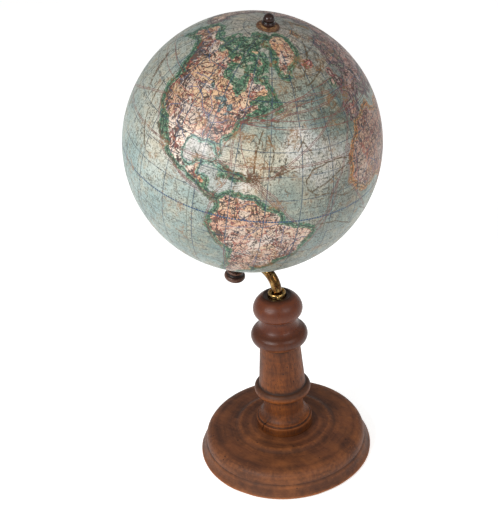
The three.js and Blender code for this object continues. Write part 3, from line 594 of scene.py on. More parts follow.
def crests(profile, reach):
    """How far each point of an outline stands out of its neighbourhood, or below zero into a groove."""
    step = 0.4
    along = np.concatenate([[0], np.cumsum(np.linalg.norm(np.diff(profile, axis=0), axis=1))])
    even = np.arange(0, along[-1] + step, step)
    dense = np.stack([np.interp(even, along, profile[:, k]) for k in (0, 1)], axis=1)
    width = int(3 * reach / step)
    kernel = np.exp(-((np.arange(-width, width + 1) * step / reach) ** 2))
    kernel /= kernel.sum()
    smooth = np.stack([np.convolve(np.pad(dense[:, k], width, mode="edge"), kernel, "valid")
                       for k in (0, 1)], axis=1)
    tangent = np.gradient(dense, axis=0)
    tangent /= np.maximum(np.linalg.norm(tangent, axis=1, keepdims=True), 1e-9)
    out = (dense[:, 0] - smooth[:, 0]) * tangent[:, 1] - (dense[:, 1] - smooth[:, 1]) * tangent[:, 0]
    return np.interp(along, even, out)


def bumps(points, size, seed):
    """Smooth noise from about -1 to 1 at points, its bumps about size across."""
    waves = np.random.default_rng(seed)
    total = np.zeros(len(points))
    for _ in range(14):
        direction = waves.normal(size=3)
        direction *= waves.uniform(1.5, 4.5) / np.linalg.norm(direction) / size
        total += np.sin(points @ direction + waves.uniform(0, 6.3))
    return total / 4


def turned(name, outline, sides, place, ease, rough=0.0, dent=None, extra=()):
    """Turns an outline about +Z. It runs anticlockwise, and starts and ends on the axis or closes on itself.
    rough is how far the surface wanders, dent a function that moves its points, and extra more directions, in
    degrees, that get a row of points."""
    profile = eased(outline, ease)
    crest = crests(profile, CREST_REACH)
    angles = np.sort(np.concatenate([np.linspace(0, 2 * math.pi, sides, endpoint=False), np.radians(extra)]))
    sides = len(angles)
    vertices, index, crest_values = [], [], []
    for (r, z), value in zip(profile, crest):
        if r < 1e-6:
            index.append([len(vertices)])
            vertices.append((0.0, 0.0, z))
            crest_values.append(value)
        else:
            index.append(list(range(len(vertices), len(vertices) + sides)))
            vertices += [(r * math.cos(a), r * math.sin(a), z) for a in angles]
            crest_values += [value] * sides
    faces = []
    rings = list(zip(index, index[1:]))
    if outline[0][0] > 0:
        rings.append((index[-1], index[0]))
    for low, high in rings:
        for k in range(sides):
            n = (k + 1) % sides
            if len(low) == 1:
                faces.append((low[0], high[n], high[k]))
            elif len(high) == 1:
                faces.append((low[k], low[n], high[0]))
            else:
                faces.append((low[k], low[n], high[n], high[k]))
    points = np.array(vertices)
    crest_values = np.array(crest_values)
    if rough:
        around = np.linalg.norm(points[:, :2], axis=1)
        scale = 1 + rough * (bumps(points, 30, 3) * 0.7 + bumps(points, 9, 4) * 0.3) / np.maximum(around, 5)
        points[:, :2] *= scale[:, None]
    if dent is not None:
        points = dent(points, crest_values)
    return mesh_object(name, points, faces, place, {"crest": crest_values})


class Wire:
    """An output of a shader's node. Arithmetic on it adds Math nodes."""

    def __init__(self, shader, socket):
        self.shader, self.socket = shader, socket

    def __add__(self, other):
        return self.shader.math("ADD", self, other)

    def __sub__(self, other):
        return self.shader.math("SUBTRACT", self, other)

    def __rsub__(self, other):
        return self.shader.math("SUBTRACT", other, self)

    def __mul__(self, other):
        return self.shader.math("MULTIPLY", self, other)

    def __abs__(self):
        return self.shader.math("ABSOLUTE", self)


class Shader:
    """A node material, with short calls for the nodes that it uses."""

    def __init__(self, name):
        self.material = bpy.data.materials.new(name)
        self.material.use_nodes = True
        self.tree = self.material.node_tree
        self.surface = self.tree.nodes["Principled BSDF"]

    def put(self, socket, value):
        if isinstance(value, Wire):
            self.tree.links.new(value.socket, socket)
        elif value is not None:
            socket.default_value = value

    def node(self, kind, values=(), out=0, **settings):
        node = self.tree.nodes.new("ShaderNode" + kind)
        for key, value in settings.items():
            setattr(node, key, value)
        pairs = values.items() if isinstance(values, dict) else enumerate(values)
        for key, value in pairs:
            self.put(node.inputs[key], value)
        found = node.outputs[out]
        return [Wire(self, each) for each in found] if isinstance(out, slice) else Wire(self, found)

    def math(self, operation, *values):
        return self.node("Math", values, operation=operation)

    def most(self, result, *others):
        for other in others:
            result = self.math("MAXIMUM", result, other)
        return result

    def from_half(self, value):
        """How far what comes after a number's decimal point is from a half."""
        return abs(self.math("FRACT", value) - 0.5)

    def mix(self, share, a, b):
        return self.node("Mix", {0: share, 6: a, 7: b}, out=2, data_type="RGBA")

    def over(self, colour, *layers):
        """The colour with layers over it, each a share, 0 to 1, and a colour as it looks on a screen."""
        for share, ink in layers:
            colour = self.mix(share, colour, paint(*ink))
        return colour

    def fade(self, value, low, high, to_low=0.0, to_high=1.0):
        return self.node("MapRange", [value, low, high, to_low, to_high], clamp=True)

    def noise(self, where, scale, detail=2.0, rough=0.5, twist=0.0, out="Fac"):
        return self.node("TexNoise", {"Vector": where, "Scale": scale, "Detail": detail, "Roughness": rough,
                                      "Distortion": twist}, out=out)

    def cells(self, where, scale, feature="F1", out="Distance"):
        return self.node("TexVoronoi", {"Vector": where, "Scale": scale}, out=out, feature=feature)

    def field(self, name, out="Fac"):
        return self.node("Attribute", out=out, attribute_name=name)

    def vector(self, operation, *values, out=0):
        return self.node("VectorMath", values, out=out, operation=operation)

    def scaled(self, where, factor):
        return self.node("VectorMath", {0: where, "Scale": factor}, operation="SCALE")

    def joined(self, x, y, z=0.0):
        return self.node("CombineXYZ", [x, y, z])

    def parts(self, where):
        return self.node("SeparateXYZ", [where], out=slice(None))

    def place(self):
        """The point on the object, in millimetres."""
        return self.scaled(self.node("TexCoord", out="Object"), 1000)

    def finish(self, colour, roughness, height=None, strength=0.3, reach=0.001, **sockets):
        self.put(self.surface.inputs["Base Color"], colour)
        self.put(self.surface.inputs["Roughness"], roughness)
        if height is not None:
            bump = self.node("Bump", {"Strength": strength, "Distance": reach, "Height": height})
            self.put(self.surface.inputs["Normal"], bump)
        for name, value in sockets.items():
            self.surface.inputs[name.replace("_", " ")].default_value = value
        return self.material


def map_paper(name):
    """Engraved, hand-tinted and varnished map paper, drawn from the fields on the mesh."""
    s = Shader(name)
    at = s.field("map", "Vector")
    mm = s.scaled(at, RADIUS)
    x, y, z = s.parts(at)
    longitude = s.math("DEGREES", s.math("ARCTAN2", y, x))
    latitude_angle = s.math("ARCSINE", z)
    latitude = s.math("DEGREES", latitude_angle)
    narrow = s.math("COSINE", latitude_angle)
    strip = s.math("FLOOR", s.math("DIVIDE", longitude, GORE_WIDTH))
    across = longitude - (strip * GORE_WIDTH + GORE_WIDTH / 2)
    east = across * narrow * DEGREE + strip * PRINT_SHIFT
    north = latitude * DEGREE

    coarse = s.noise(mm, 0.035, 3)
    middle = s.noise(mm, 0.16, 3)
    fine = s.noise(mm, 0.62, 3)
    grit = s.noise(mm, 1.5, 2)

    def region(latitude_, longitude_, reach):
        """1 at a place on the map, and 0 from its reach outwards, in degrees."""
        here = s.vector("DOT_PRODUCT", at, tuple(on_sphere(latitude_, longitude_)), out=1)
        return s.fade(here, math.cos(math.radians(reach)), math.cos(math.radians(reach * 0.45)))

    def scrawl(scale, half_width, offset=0.0):
        """Thin wandering lines, along one level of a noise."""
        level = s.noise(s.vector("ADD", mm, (offset, 0.0, 0.0)), scale)
        return s.fade(abs(level - 0.5), half_width, half_width * 0.4)

    def lettering(pitch, ink, sparse, height):
        """Rows of small illegible strokes, like distant print."""
        row = north * pitch
        rows = s.from_half(row)
        line = s.math("FLOOR", row)
        strokes = s.noise(s.joined(east, line * 7.3, rows * 1.6), 1.0, 1)
        words = s.noise(s.joined(east * 0.1, line * 3.7), 1.0, 1)
        printed = s.fade(rows, height, height * 0.7) * s.fade(strokes, 0.5, 0.56)
        return printed * s.fade(words, sparse, sparse + 0.05) * ink

    wiggle = (s.noise(mm, 0.6, 3, 0.6) - 0.5) * 2.4 + s.field("coast")
    on_land = s.fade(wiggle, -0.06, 0.06)
    from_coast = abs(wiggle)

    # Sea: faded in patches, with print, scrawled lines and short shading strokes off the coasts
    offshore = s.fade(from_coast, 11.0, 4.0) * s.fade(s.noise(mm, 0.11, 1), 0.4, 0.55)
    shading = s.fade(s.from_half(north * 0.62), 0.2, 0.1)
    crowded = s.most(region(30, -58, 26), region(66, -20, 30))
    sparse = s.fade(s.noise(mm, 0.05, 1) + crowded * 0.06, 0.5, 0.58)
    busy = s.most(region(48, -32, 24), region(8, -26, 16), region(70, -10, 22))
    sea = s.over(
        s.field("sea", "Color"),
        (s.fade(middle, 0.46, 0.6, 0.0, 0.45), (178, 168, 144)),
        (s.fade(coarse, 0.4, 0.62, 0.0, 0.5), (108, 138, 138)),
        (s.fade(fine, 0.5, 0.62, 0.0, 0.55), (78, 80, 68)),
        (lettering(0.34, 0.8, 0.52, 0.22), (52, 50, 48)),
        (shading * offshore * 0.5, (70, 84, 86)),
        (scrawl(0.05, 0.014) * sparse * 0.9, (90, 66, 40)),
        (scrawl(0.09, 0.012, 40.0) * s.fade(middle, 0.46, 0.54) * 0.85, (50, 58, 56)),
        (scrawl(0.13, 0.022, 70.0) * busy * 0.7, (56, 56, 50)),
        (scrawl(0.1, 0.018, 110.0) * busy * 0.7, (84, 64, 48)))

    # Land: tinted in patches, with engraved hills, print, towns and borders
    loose = s.vector("ADD", mm, s.scaled(s.noise(mm, 0.2, 2, out="Color"), 7.0))
    hue = s.parts(s.cells(loose, 0.095, out="Color"))
    europe = s.most(region(48, 8, 26), region(62, 20, 22))
    turn = s.cells(mm, 0.14, out="Color") * 6.2
    turn_cos, turn_sin = s.math("COSINE", turn), s.math("SINE", turn)
    along = east * turn_cos + north * turn_sin
    aside = north * turn_cos - east * turn_sin
    strokes = s.noise(s.joined(along * 0.2, aside * 0.95, turn * 3.0), 1.0, 1)
    hilly = (s.field("relief") + region(57, -127, 9)) * 0.13 + s.noise(mm, 0.1, 2) * 0.34
    settled = s.fade(s.noise(mm, 0.09, 1), 0.46, 0.54, 0.1, 1.0)
    border = s.fade(s.cells(loose, 0.095, "DISTANCE_TO_EDGE"), 0.035, 0.015)
    land = s.over(
        s.field("land", "Color"),
        (s.fade(hue[0], 0.45, 0.8, 0.0, 0.6), (220, 188, 150)),
        (s.fade(hue[1], 0.4, 0.75, 0.0, 0.8), (214, 196, 182)),
        (s.fade(hue[2], 0.6, 0.9, 0.0, 0.35), (180, 150, 126)),
        (region(22, -103, 14) * 0.85, (250, 232, 214)),
        (s.fade(fine, 0.5, 0.66, 0.0, 0.2), (140, 104, 88)),
        (europe * s.fade(fine, 0.38, 0.6, 0.1, 0.6), (166, 124, 122)),
        (region(20, 0, 34) * s.fade(fine, 0.35, 0.6, 0.2, 0.65), (134, 96, 76)),
        (0.22, (76, 94, 94)),
        (s.fade(strokes + hilly, 0.765, 0.79) * 0.9, (52, 34, 28)),
        (scrawl(0.1, 0.022, 90.0) * 0.8, (96, 52, 38)),
        (scrawl(0.14, 0.024, 170.0) * 0.8, (46, 50, 66)),
        (scrawl(0.07, 0.016, 230.0) * 0.85, (36, 26, 24)),
        (s.fade(s.cells(mm, 0.22), 0.22, 0.12) * settled * 0.95, (22, 18, 18)),
        (lettering(0.27, 0.95, 0.53, 0.22), (20, 18, 20)),
        (border * 0.6, (150, 74, 58)))

    def stroke(layer, half_width, soft=0.2, gap=None):
        """Ink along a layer's lines, or as two lines with a gap between them."""
        distance = abs(s.field(layer))
        if gap is not None:
            distance = abs(distance - gap)
        near = s.math("LESS_THAN", s.field(layer + "_near"), 2.2)
        return s.fade(distance, half_width + soft, half_width) * near

    colour = s.mix(on_land, sea, land)
    colour = s.over(colour, (stroke("river", 0.24) * on_land * 0.8, (72, 82, 112)))

    # Coast wash, spread wider over the arctic islands and round Newfoundland
    spread = s.most(region(71, -98, 17), region(48, -59, 7), region(62, -74, 9))
    width = (s.field("wash_width") * 2.3 + (middle - 0.5) * 4.2
             + spread * s.fade(s.noise(mm, 0.14, 2), 0.38, 0.62, -1.2, 3.4))
    washed = s.fade(abs(wiggle + 0.2) - width, 0.35, -0.35) * s.fade(grit, 0.3, 0.48, 0.55, 0.96)
    faded = s.noise(s.vector("ADD", mm, (50.0, 0.0, 0.0)), 0.5, 2)
    tint = s.over(
        s.field("wash", "Color"),
        (s.fade(fine, 0.46, 0.6, 0.0, 0.8), (18, 32, 28)),
        (s.fade(faded, 0.54, 0.62, 0.0, 0.6), (150, 166, 140)))
    colour = s.mix(washed, colour, tint)

    # Graticule: a meridian every 15 degrees from Paris, a parallel every 10, and the dashed equator
    from_paris = s.math("DIVIDE", longitude - (PARIS - 7.5), 15.0)
    meridian = s.from_half(from_paris) * narrow * (15 * DEGREE)
    parallel = s.from_half(latitude * 0.1 + 0.5) * (10 * DEGREE)
    thin = s.most(s.fade(meridian, 0.54, 0.24) * s.fade(narrow, 0.1, 0.35),
                  s.fade(parallel, 0.45, 0.22) * 0.85)
    dashes = s.fade(s.math("FRACT", longitude * 0.8), 0.3, 0.36)
    twin_routes = s.most(stroke("route_a", 0.14, gap=0.6), stroke("route_b", 0.14, gap=0.6))
    route = s.most(twin_routes, stroke("route_c", 0.16))
    current = stroke("current", 0.42, 0.4) * s.fade(s.noise(mm, 0.5, 2), 0.34, 0.5)
    stain = stroke("stain", 0.34, 0.5) * s.fade(s.noise(mm, 0.5, 2), 0.36, 0.52)
    burst = region(*STAR, 3.6) * s.fade(s.noise(mm, 0.7, 2, 0.6, 1.5), 0.45, 0.55)
    foxing = s.fade(s.cells(mm, 0.12), 0.16, 0.06) * s.fade(s.noise(mm, 0.05, 1), 0.46, 0.58)
    aged = s.fade(s.noise(mm, 0.075, 4, 0.65) + crowded * 0.05, 0.57, 0.67)
    scratch = s.fade(s.noise(s.joined(east * 1.1, north * 0.1, 3.0), 1.0, 2), 0.62, 0.7)
    seam = (GORE_WIDTH / 2 - abs(across)) * narrow * DEGREE
    colour = s.over(
        colour,
        (s.fade(from_coast, 0.5, 0.28) * 0.8, (26, 34, 32)),
        (thin * s.fade(middle, 0.34, 0.5, 0.35, 0.9), (46, 66, 82)),
        (s.fade(abs(north), 0.85, 0.55) * dashes * 0.95, (26, 62, 96)),
        (route * s.fade(middle, 0.3, 0.5, 0.45, 0.9), (112, 58, 52)),
        (current * 0.9, (78, 62, 38)),
        (stain * 0.9, (92, 58, 30)),
        (burst * 0.92, (80, 46, 24)),
        (foxing * 0.75, (100, 66, 32)),
        (aged * s.fade(fine, 0.36, 0.56) * 0.65, (138, 98, 56)),
        (scratch * 0.5, (74, 72, 62)),
        (s.fade(seam, 0.7, 0.2, 0.0, 0.45), (72, 72, 62)),
        (s.fade(grit, 0.44, 0.68, 0.0, 0.42 - on_land * 0.2), (44, 40, 34)))
    colour = s.mix(s.field("printed"), paint(206, 194, 164), colour)

    roughness = s.fade(middle + grit * 0.4, 0.4, 1.0, 0.34, 0.54)
    height = coarse + fine * 0.25 + grit * 0.08
    return s.finish(colour, roughness, height, 0.4, 0.0006, Specular_IOR_Level=0.35)


def wood(name, dark, base, light, upright, gloss, worn, groove_dirt_and_shade=0.88, marks=0.4, polished_from=None):
    """Turned, stained wood: streaks and pores along the grain, lathe marks, dirt and painted shade in the
    grooves, and wear with a painted highlight on the crests. The column's stain is darker and polished above
    a height; its lower bead has a painted dark reflection on its upward faces, and the ball's cup a
    near-black painted shade."""
    s = Shader(name)
    at = s.place()
    x, y, z = s.parts(at)
    lengthwise, sideways, deep = (z, x, y) if upright else (x, y, z)

    def along_grain(stretch, narrow, *settings, aside=sideways):
        where = s.joined(lengthwise * stretch, aside * narrow, deep * narrow)
        return s.noise(where, 1.0, *settings)

    def stain(share):
        return tuple(c * share for c in dark)

    warped = sideways + (s.noise(at, 0.03, 2) - 0.5) * 14.0
    rings = along_grain(0.03, 0.42, 5, 0.6, 0.6, aside=warped)
    board = along_grain(0.008, 0.05, 3)
    pores = along_grain(0.16, 2.6, 2, 0.6)
    mottled = s.noise(at, 0.1, 4)
    around = s.vector("LENGTH", s.joined(x, y), out=1)
    wobble = s.noise(at, 0.04, 1) * 5.0
    lathe = s.noise(s.joined(around + wobble, z), 0.24, 4, 0.55)
    crest = s.field("crest") + (s.noise(at, 0.35, 3) - 0.5) * 0.6
    knocks = s.fade(s.cells(at, 0.13), 0.12, 0.07) * s.fade(s.noise(at, 0.06, 1), 0.48, 0.55)
    streaks = 1.0 if upright else 0.4
    colour = s.over(
        paint(*base),
        (s.fade(rings, 0.32, 0.68, 0.0, streaks), dark),
        (s.fade(board, 0.45, 0.68, 0.0, 0.55), light),
        (s.fade(pores, 0.54, 0.66, 0.0, 0.7 * streaks), stain(0.4)),
        (s.fade(mottled, 0.46, 0.7, 0.0, 0.5), stain(0.72)),
        (s.fade(s.noise(at, 0.035, 3), 0.44, 0.62, 0.0, 0.5), stain(0.9)),
        (s.fade(lathe, 0.46, 0.64, 0.0, marks), stain(0.6)),
        (s.fade(lathe, 0.46, 0.34, 0.0, marks * 0.5), light),
        # dirt and painted shade in the grooves: where the crest value drops below zero the colour goes to a
        # dark tone of the stain
        (s.fade(crest, 0.0, -0.42, 0.0, groove_dirt_and_shade), stain(0.26)),
        # wear and a painted highlight on the crests: convex rims take the light tone
        (s.fade(crest, 0.1, 0.5, 0.0, 0.7 * worn), light),
        (knocks * 0.85, stain(0.2)))
    roughness = s.fade(rings + pores, 0.7, 1.3, gloss, gloss + 0.22)
    if polished_from is not None:
        def between(value, uneven, low, high):
            """0 at low and 1 at high, with an uneven edge."""
            return s.fade(value + mottled * uneven, low, high)

        # painted dark reflection on the lower bead: its surfaces that face upward, found from the normal, are
        # darkened
        upward = s.parts(s.node("NewGeometry", out="Normal"))[2]
        bead_top_dark_reflection = s.fade(upward, 0.0, 0.55) * s.fade(z, 60.0, 62.0) * s.fade(z, 78.0, 76.0)
        polished = between(z, 3.0, polished_from + 0.6, polished_from + 2.4)
        upper_bead = polished * between(z, 4.0, 143.0, 138.0)
        foot = between(z, 6.0, 44.0, 38.0)
        # painted shade: the recess in the ball's top round the collar is darkened nearly to black
        cup = s.fade(z, 168.0, 170.6) * between(around, 4.0, 18.5, 14.5)
        colour = s.over(
            colour,
            (bead_top_dark_reflection * 0.7, (52, 34, 25)), (polished * 0.55, (86, 43, 32)), (upper_bead * 0.5, (46, 24, 14)),
            (foot * 0.45, (52, 26, 12)), (cup * 0.9, (20, 12, 10)))
        roughness = roughness - polished * 0.17
    height = lathe * marks - (pores * 0.4 + rings * 0.25) * streaks
    return s.finish(colour, roughness, height, 0.45, 0.0006, IOR=1.33)


def brass(name, bright):
    """Old brass: red-brown and olive tarnish, rubbed bright here and there."""
    s = Shader(name)
    at = s.place()
    tarnish = s.noise(at, 0.22, 4, 0.65, 0.6)
    spots = s.noise(at, 0.9, 3, 0.6)
    rubbed = s.noise(s.vector("MULTIPLY", at, (0.3, 0.3, 0.12)), 1.0, 3)
    colour = s.over(
        paint(140, 98, 50),
        (s.fade(tarnish, 0.36, 0.6), (72, 42, 24)),
        (s.fade(rubbed, 0.5 - bright, 0.66 - bright, 0.0, 0.6 + bright), (188, 154, 96)),
        (s.fade(s.noise(at, 0.5, 2), 0.5, 0.62, 0.0, 0.6), (74, 68, 38)),
        (s.fade(spots, 0.48 + bright, 0.62 + bright, 0.0, 0.85), (34, 19, 13)))
    roughness = s.fade(tarnish + spots * 0.5, 0.5, 1.0, 0.18, 0.36)
    return s.finish(colour, roughness, spots + tarnish * 0.5, 0.2, 0.0003, Metallic=1.0)


def steel(name):
    """Dull steel with specks of rust."""
    s = Shader(name)
    at = s.place()
    dull = s.noise(at, 0.6, 4, 0.6)
    rust = s.noise(at, 0.9, 4, 0.7)
    colour = s.over(
        paint(150, 150, 148),
        (s.fade(dull, 0.3, 0.7), (104, 102, 98)),
        (s.fade(rust, 0.58, 0.7, 0.0, 0.8), (104, 62, 38)))
    return s.finish(colour, s.fade(dull, 0.3, 0.7, 0.3, 0.55), rust, 0.15, 0.0003, Metallic=1.0)


def leather(name):
    """Tan leather, worn through in patches and dark along its rim."""
    s = Shader(name)
    at = s.place()
    worn = s.noise(at, 0.3, 4, 0.65)
    colour = s.over(
        paint(172, 130, 84),
        (s.fade(worn, 0.42, 0.58), (88, 54, 30)),
        (s.fade(s.field("crest"), 0.02, 0.16, 0.0, 0.8), (74, 42, 22)),
        (s.fade(s.noise(at, 0.7, 3, 0.6), 0.5, 0.62, 0.0, 0.7), (56, 34, 22)))
    return s.finish(colour, s.fade(worn, 0.3, 0.7, 0.6, 0.85), s.cells(at, 1.3) + worn, 0.35, 0.0004)


def baize(name):
    """Green wool baize, faded in patches."""
    s = Shader(name)
    at = s.place()
    fibres = s.noise(at, 3.0, 4, 0.7, 2.0)
    colour = s.over(
        paint(34, 62, 44),
        (s.fade(fibres, 0.35, 0.65), (62, 94, 66)),
        (s.fade(s.noise(at, 0.05, 3), 0.45, 0.7, 0.0, 0.5), (84, 98, 72)))
    return s.finish(colour, 0.95, fibres, 0.6, 0.0006, Sheen_Weight=0.3)


def plain_card(name, base, dark):
    """Pasted card, fibrous and stained."""
    s = Shader(name)
    at = s.place()
    fibres = s.noise(s.vector("MULTIPLY", at, (1.0, 1.0, 0.4)), 1.2, 4, 0.65)
    colour = s.over(
        paint(*base),
        (s.fade(fibres, 0.35, 0.7), dark),
        (s.fade(s.noise(at, 0.04, 3), 0.45, 0.7, 0.0, 0.4), tuple(c * 0.8 for c in dark)))
    return s.finish(colour, s.fade(fibres, 0.3, 0.7, 0.75, 0.95), fibres, 0.4, 0.0004)


MAP_PAPER = map_paper("printed_map_paper")
BASE_WOOD = wood("stained_base", (64, 36, 24), (105, 60, 35), (144, 86, 45), False, 0.46, 1.3, 0.6, 0.3)
COLUMN_WOOD = wood("stained_column", (76, 36, 11), (114, 58, 15), (146, 79, 25), True, 0.4,
                   worn=0.7, groove_dirt_and_shade=0.85, marks=0.15, polished_from=126.5)
DARK_WOOD = wood("polished_dark_wood", (14, 6, 6), (30, 15, 13), (62, 38, 31), True, 0.1, 0.5)
KNOB_WOOD = wood("rubbed_dark_wood", (36, 18, 13), (66, 40, 31), (112, 80, 66), True, 0.2, 0.8)
BRASS = brass("aged_brass", 0.0)
COLLAR_BRASS = brass("rubbed_brass", 0.3)
STEEL = steel("old_steel")
LEATHER = leather("worn_leather")
BAIZE = baize("green_baize")
CARD = plain_card("paste_card", (208, 194, 160), (172, 152, 116))
PALE_WOOD = wood("pale_wood", (150, 112, 74), (186, 148, 104), (206, 172, 128), True, 0.6, 0.2)


def paper(name, node, outer, inner, faces, fields):
    """A piece of the printed paper, whose inner side has no print."""
    fields["printed"] = np.repeat([1.0, 0.0], [len(outer), len(inner)])
    obj = mesh_object(name, np.concatenate([outer, inner]), faces, ON_AXLE, fields)
    fit_out(obj, "globe", "map_paper", MAP_PAPER, node)


def gore(number, latitudes, longitudes, fields, columns):
    """One printed paper gore: a thin closed shell, finely divided outside and coarsely inside."""
    rows, width = len(latitudes), len(longitudes)
    outward = grid(latitudes, longitudes).reshape(-1, 3)
    uneven = 0.045
    outer = outward * (RADIUS + uneven * bumps(outward * RADIUS, 16, 30 + number))[:, None]
    step = 4
    inner_rows, inner_width = len(range(0, rows, step)), len(range(0, width, step))
    picked = [row * width + column for row in range(0, rows, step) for column in range(0, width, step)]

    def corner(r, c):
        return len(outer) + r * inner_width + c

    faces = [(r * width + c, r * width + c + 1, (r + 1) * width + c + 1, (r + 1) * width + c)
             for r in range(rows - 1) for c in range(width - 1)]
    faces += [(corner(r, c), corner(r + 1, c), corner(r + 1, c + 1), corner(r, c + 1))
              for r in range(inner_rows - 1) for c in range(inner_width - 1)]
    for r in range(inner_rows - 1):
        left = [(step * r + k) * width for k in range(step + 1)]
        right = [index + width - 1 for index in left]
        faces.append((*left, corner(r + 1, 0), corner(r, 0)))
        faces.append((*reversed(right), corner(r, inner_width - 1), corner(r + 1, inner_width - 1)))
    for c in range(inner_width - 1):
        low = [step * c + k for k in range(step + 1)]
        high = [index + (rows - 1) * width for index in low]
        faces.append((*reversed(low), corner(0, c), corner(0, c + 1)))
        faces.append((*high, corner(inner_rows - 1, c + 1), corner(inner_rows - 1, c)))
    data = {}
    for key, values in fields.items():
        own = values[:, columns].reshape(rows * width, *values.shape[2:])
        data[key] = np.concatenate([own, own[picked]])
    node = f"gore_{number:02d}"
    paper("map_" + node, node, outer, outward[picked] * (RADIUS - PAPER_THICKNESS), faces, data)


def all_gores():
    latitudes = np.linspace(-CAP_LATITUDE, CAP_LATITUDE, GORE_ROWS + 1)
    gap = 0.02
    edges = [FIRST_MERIDIAN + GORE_WIDTH * k for k in range(GORES + 1)]
    strips = [np.linspace(a + gap, b - gap, GORE_COLUMNS + 1) for a, b in zip(edges, edges[1:])]
    fields = map_fields(latitudes, np.concatenate(strips))
    for k, strip in enumerate(strips):
        gore(k + 1, latitudes, strip, fields, slice(k * len(strip), (k + 1) * len(strip)))


def polar_paper(side, node):
    """The round paper that covers the tips of the gores at a pole, open round the bush."""
    around = 96
    overlap = 0.35
    latitudes = side * np.linspace(CAP_LATITUDE - overlap, POLE_HOLE, 20)
    longitudes = FIRST_MERIDIAN + np.arange(around) * 360 / around
    fields = map_fields(latitudes, longitudes)
    outward = grid(latitudes, longitudes).reshape(-1, 3)
    rows, count = len(latitudes), len(outward)
    faces = []
    for r in range(rows - 1):
        for c in range(around):
            n = (c + 1) % around
            quad = (r * around + c, r * around + n, (r + 1) * around + n, (r + 1) * around + c)
            faces += [quad, tuple(index + count for index in reversed(quad))]
    for r in (0, rows - 1):
        for c in range(around):
            n = (c + 1) % around
            quad = (r * around + n, r * around + c, r * around + c + count, r * around + n + count)
            faces.append(quad if r == 0 else quad[::-1])
    if side < 0:
        faces = [face[::-1] for face in faces]
    data = {key: np.concatenate([values.reshape(count, *values.shape[2:])] * 2)
            for key, values in fields.items()}
    paper("map_" + node, node, outward * (RADIUS + 0.16), outward * (RADIUS + 0.05), faces, data)


def base_pieces():
    felt = turned("green_felt", tube(0, 78.9, 0, 1), 144, ON_STAND, 0.3)
    fit_out(felt, "stand", "baize", BAIZE, "base_felt")

    def knocked(points, crest):
        """Dents along the two rims, and the ovalness of an old turning."""
        angle = np.arctan2(points[:, 1], points[:, 0])
        rim = np.clip(crest, 0, 0.5) * 2
        wave = bumps(np.stack([np.cos(angle) * 40, np.sin(angle) * 40, points[:, 2]], axis=1), 9, 21)
        points[:, :2] *= (1 - 0.004 * rim * np.clip(wave, 0, 1))[:, None]
        points[:, :2] *= (1 - 0.0012 * np.cos(2 * angle + 0.6) ** 2)[:, None]
        return points

    disc = turned("turned_base", [
        (3.3, 6.2), (9, 6.2), (9, 1.3), (80.9, 1.3), (81.9, 2.4), (81.2, 3.6), (80.1, 5), (79.1, 7),
        (78.2, 9.2), (77.5, 11.2), (76.6, 12.6), (75.9, 13.6), (76.2, 15), (75.9, 17.2), (75.3, 19.2),
        (74.3, 21), (72.6, 22.8), (70, 24.2), (66, 25.2), (60, 25.9), (51, 26.2), (47.5, 26.7), (45.6, 27.7),
        (43.6, 28.5), (42, 28.7), (40, 28.4), (36, 28.2), (30, 28.4), (12.3, 28.4), (12.3, 10.2), (3.3, 10.2),
    ], 192, ON_STAND, 1.1, 0.08, knocked)
    fit_out(disc, "stand", "stained_wood", BASE_WOOD, "base_disc")

    def cracked(points, crest):
        """A shrinkage crack from the scotia down through the foot ring."""
        angle = np.degrees(np.arctan2(points[:, 1], points[:, 0]))
        around = np.linalg.norm(points[:, :2], axis=1)
        middle = -95 - (41 - points[:, 2]) * 0.8 + 0.9 * np.sin(points[:, 2] * 1.3)
        off = np.abs(np.radians(angle - middle) * around)
        depth = np.clip(1 - off / 0.55, 0, 1) * np.clip((43 - points[:, 2]) / 4, 0, 1)
        depth *= (around > 20) & (points[:, 2] > 28)
        points[:, :2] *= (1 - 1.1 * depth / np.maximum(around, 5))[:, None]
        # the crack's lowered crest value also gives it the grooves' dirt and painted shade in the wood's
        # colour
        crest -= 1.4 * depth
        return points

    column = turned("turned_column", [
        (0, 27), (3.3, 27), (3.3, 10.5), (12, 10.5), (12, 28.7), (25.6, 28.7), (26.4, 29.4), (26.4, 37.2),
        (25.9, 37.8), (24.9, 37.9), (24.3, 38.4), *arc(26.2, 50, 7.6, 10.5, 255, 180, 18),
        (18.6, 56), (18.7, 62.5), (19.6, 64.2), *arc(21.6, 70.4, 4.8, 4.8, -75, 75, 20),
        (22.5, 75.1), (21.9, 75.6), (21.6, 78.4), (18.3, 122), *arc(18.3, 129.8, 7.8, 7.8, -78, 62, 22),
        (20.2, 137.9), (18.4, 139.6), (17, 142), (16, 144.8), (15.3, 148),
        *arc(15.1, 157.6, 7.6, 7.6, -86, -20, 10), *arc(0, 157.6, 22.7, 17.4, 0, 54, 18),
        (12.6, 172), (11.6, 171.8), (11, 171.3), (8.6, 171.3), (8.6, 168), (SOCKET_RADIUS, 168),
        (SOCKET_RADIUS, 150), (0, 150),
    ], 144, ON_STAND, 0.5, 0.1, cracked, extra=np.linspace(248.6, 268, 56))
    fit_out(column, "stand", "stained_wood", COLUMN_WOOD, "column")


